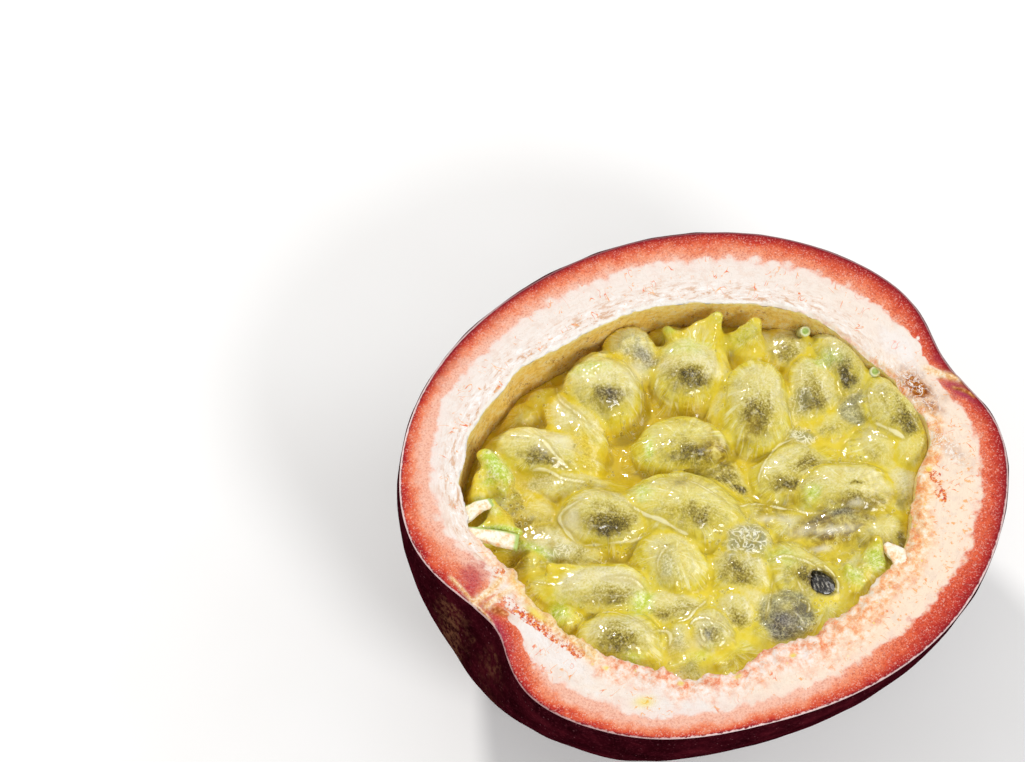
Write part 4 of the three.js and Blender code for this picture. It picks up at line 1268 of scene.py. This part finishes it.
def build_seeds():
    """The seeds that lie bare in the pulp: pitted dark ovals, sunk in it by more than half."""
    down = np.radians(np.linspace(0, 180, SEED_RINGS + 2))[1:-1, None]
    spin = np.radians(full_turn(SEED_STEPS))
    unit = np.stack([np.cos(down) + 0 * spin, np.sin(down) * np.cos(spin), np.sin(down) * np.sin(spin)], -1)
    unit = np.concatenate([[[1, 0, 0]], unit.reshape(-1, 3), [[-1, 0, 0]]])
    taper = 1 - SEED_TAPER * unit[:, :1] * [0, 1, 1]
    bodies = []
    for index, seed in enumerate(BARE_SEEDS):
        centre, axes, half = aril_frame(seed)
        pits = SEED_PITS * layered_noise(unit * 7, 131 + index, 2)
        bodies.append(((unit * half * taper + unit * pits[:, None]) @ axes + centre, 1))
    points, faces = joined(bodies, SEED_STEPS)
    piece = new_object("bare_seeds", points, faces, {"mm": points})
    made = Shader("seed")
    streaks = made.noise(made.place("mm", (2.6, 1, 1)), 1.6, 4, 0.75)
    # pale streaks along the seed: the thin film on it, and painted highlights
    base = made.ramp(streaks, (0.44, "#0b0807"), (0.54, "#38332c"), (0.62, "#a8a498"))
    normal = made.bump(made.cells(made.place(), 3.2), 0.04)
    piece.data.materials.append(made.finish(
        Base_Color=base, Roughness=0.3, Normal=normal, Coat_Weight=0.8, Coat_Roughness=0.06))
    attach(piece, "root")
    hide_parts("pulp")


# ---- Stubs of the threads that held the arils ----
# Flat straps from the wall into the pulp, the last a flap of the lip: root and end, each with x, y, how far
# below the cut face and half width, and how green the edge and the end are.
STRAP_RINGS, STUB_STEPS = 26, 32
STRAPS = [
    ((-24.8, 6.1, 1.2, 0.6), (-20.0, 2.4, 1.6, 0.82), 1.0),
    ((-24.4, 7.5, 1.3, 1.1), (-20.2, 7.6, 1.7, 0.45), 1.0),
    ((12.9, -17.8, 0.55, 1.25), (12.2, -14.6, 1.0, 0.4), 0.0),
]
STRAP_HALF_THICKNESS = 0.38
STRAP_END = [0.93, 0.8, 0.5]  # how narrow a strap's last rings are
STRAP_UNEVEN = 0.22  # as a share of its width and thickness
STRAP_ARCH = 0.2  # how far its middle rises
TUBES = [(18.2, 10.5, 1.7), (21.9, 2.9, 1.1)]  # middle of the open end: x, y and how far below the cut face
# From its outer foot over the rim into the tube: radius, place along its axis and how green it is.
TUBE_PROFILE = [
    (0.75, -1.6, 0.6), (0.55, -0.9, 0.6), (0.55, -0.1, 0.6), (0.5, 0.06, 0.5), (0.38, 0.08, 0.55),
    (0.3, -0.02, 0.9), (0.2, -0.16, 1.0),
]
TUBE_BOTTOM = -0.2
TUBE_TURN = -118.0
TUBE_TILT = 66.0


def strap_body(index, root, end):
    """Points of a strap, with how green each one is."""
    root, end = np.array(root), np.array(end)
    spin = np.radians(full_turn(STUB_STEPS))
    share = np.minimum(np.arange(STRAP_RINGS) / (STRAP_RINGS - len(STRAP_END) - 1), 1.0)[:, None]
    narrow = np.array([1.0] * (STRAP_RINGS - len(STRAP_END)) + STRAP_END)[:, None]
    across, up = [np.sign(wave) * np.abs(wave) ** 0.6 for wave in (np.cos(spin), np.sin(spin))]
    sheet = np.stack([share * 3.0 + 0 * spin, across + 0 * share, up + 5.0 * index + 0 * share], -1)
    size = narrow * (1.0 + STRAP_UNEVEN * layered_noise(sheet, 7, 2))
    along = (end - root)[:2] / np.linalg.norm((end - root)[:2])
    place = root + (end - root) * share
    middle = place[:, None, :3] * [1, 1, -1] + [0, 0, CUT_HEIGHT]
    out = (across * place[:, 3:] * size)[..., None] * [-along[1], along[0], 0]
    rise = (up * STRAP_HALF_THICKNESS * size + STRAP_ARCH * np.sin(np.pi * share))[..., None] * [0, 0, 1]
    body = middle + out + rise
    green = np.maximum(smooth((across - 0.55) / 0.3), smooth((share - 0.9) / 0.06))
    points = np.concatenate([[body[0].mean(0)], body.reshape(-1, 3), [body[-1].mean(0)]])
    return points, np.array([0.0, *green.ravel(), green[-1, 0]])


def tube_body(x, y, below):
    """Points of a tube, with how green each one is."""
    spin = np.radians(full_turn(STUB_STEPS))[:, None]
    middle = np.array([x, y, CUT_HEIGHT - below])
    axis = np.array(from_angles(TUBE_TURN, TUBE_TILT))
    side = np.cross(axis, [0, 0, 1])
    side = side / np.linalg.norm(side)
    circle = np.cos(spin) * side + np.sin(spin) * np.cross(axis, side)
    rings = [circle * radius + axis * rise for radius, rise, _ in TUBE_PROFILE]
    points = np.concatenate([[axis * TUBE_PROFILE[0][1]], *rings, [axis * TUBE_BOTTOM]]) + middle
    return points, np.array([0.5, *np.repeat([green for *_, green in TUBE_PROFILE], STUB_STEPS), 1.0])


def build_stubs():
    """Cream straps with a green edge and a green cut end, and short tubes that are green inside."""
    bodies, edges = [], []
    for index, (root, end, greenness) in enumerate(STRAPS):
        points, green = strap_body(index, root, end)
        bodies.append((points, 1))
        edges.append(green * greenness)
    for tube in TUBES:
        points, green = tube_body(*tube)
        bodies.append((points, -1))
        edges.append(green)
    points, faces = joined(bodies, STUB_STEPS)
    piece = new_object("thread_stubs", points, faces, {"mm": points, "edge": np.concatenate(edges)})
    made = Shader("thread")
    patches = made.noise(made.place(), 1.3, 4, 0.7)
    base = made.ramp(patches, (0.36, "#f8c08a"), (0.46, "#fee6c2"), (0.56, "#fff8ea"))
    base = made.mix(made.mark("edge"), base, made.mix(patches, "#8fae36", "#d3e48c"))
    piece.data.materials.append(made.finish(Base_Color=base, Roughness=0.4, Normal=made.bump(patches, 0.15)))
    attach(piece, "root")
    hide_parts("rind_and_pith")


add_camera()
add_studio()
add_floor()
build_rind()
build_pulp()
build_seeds()
build_stubs()
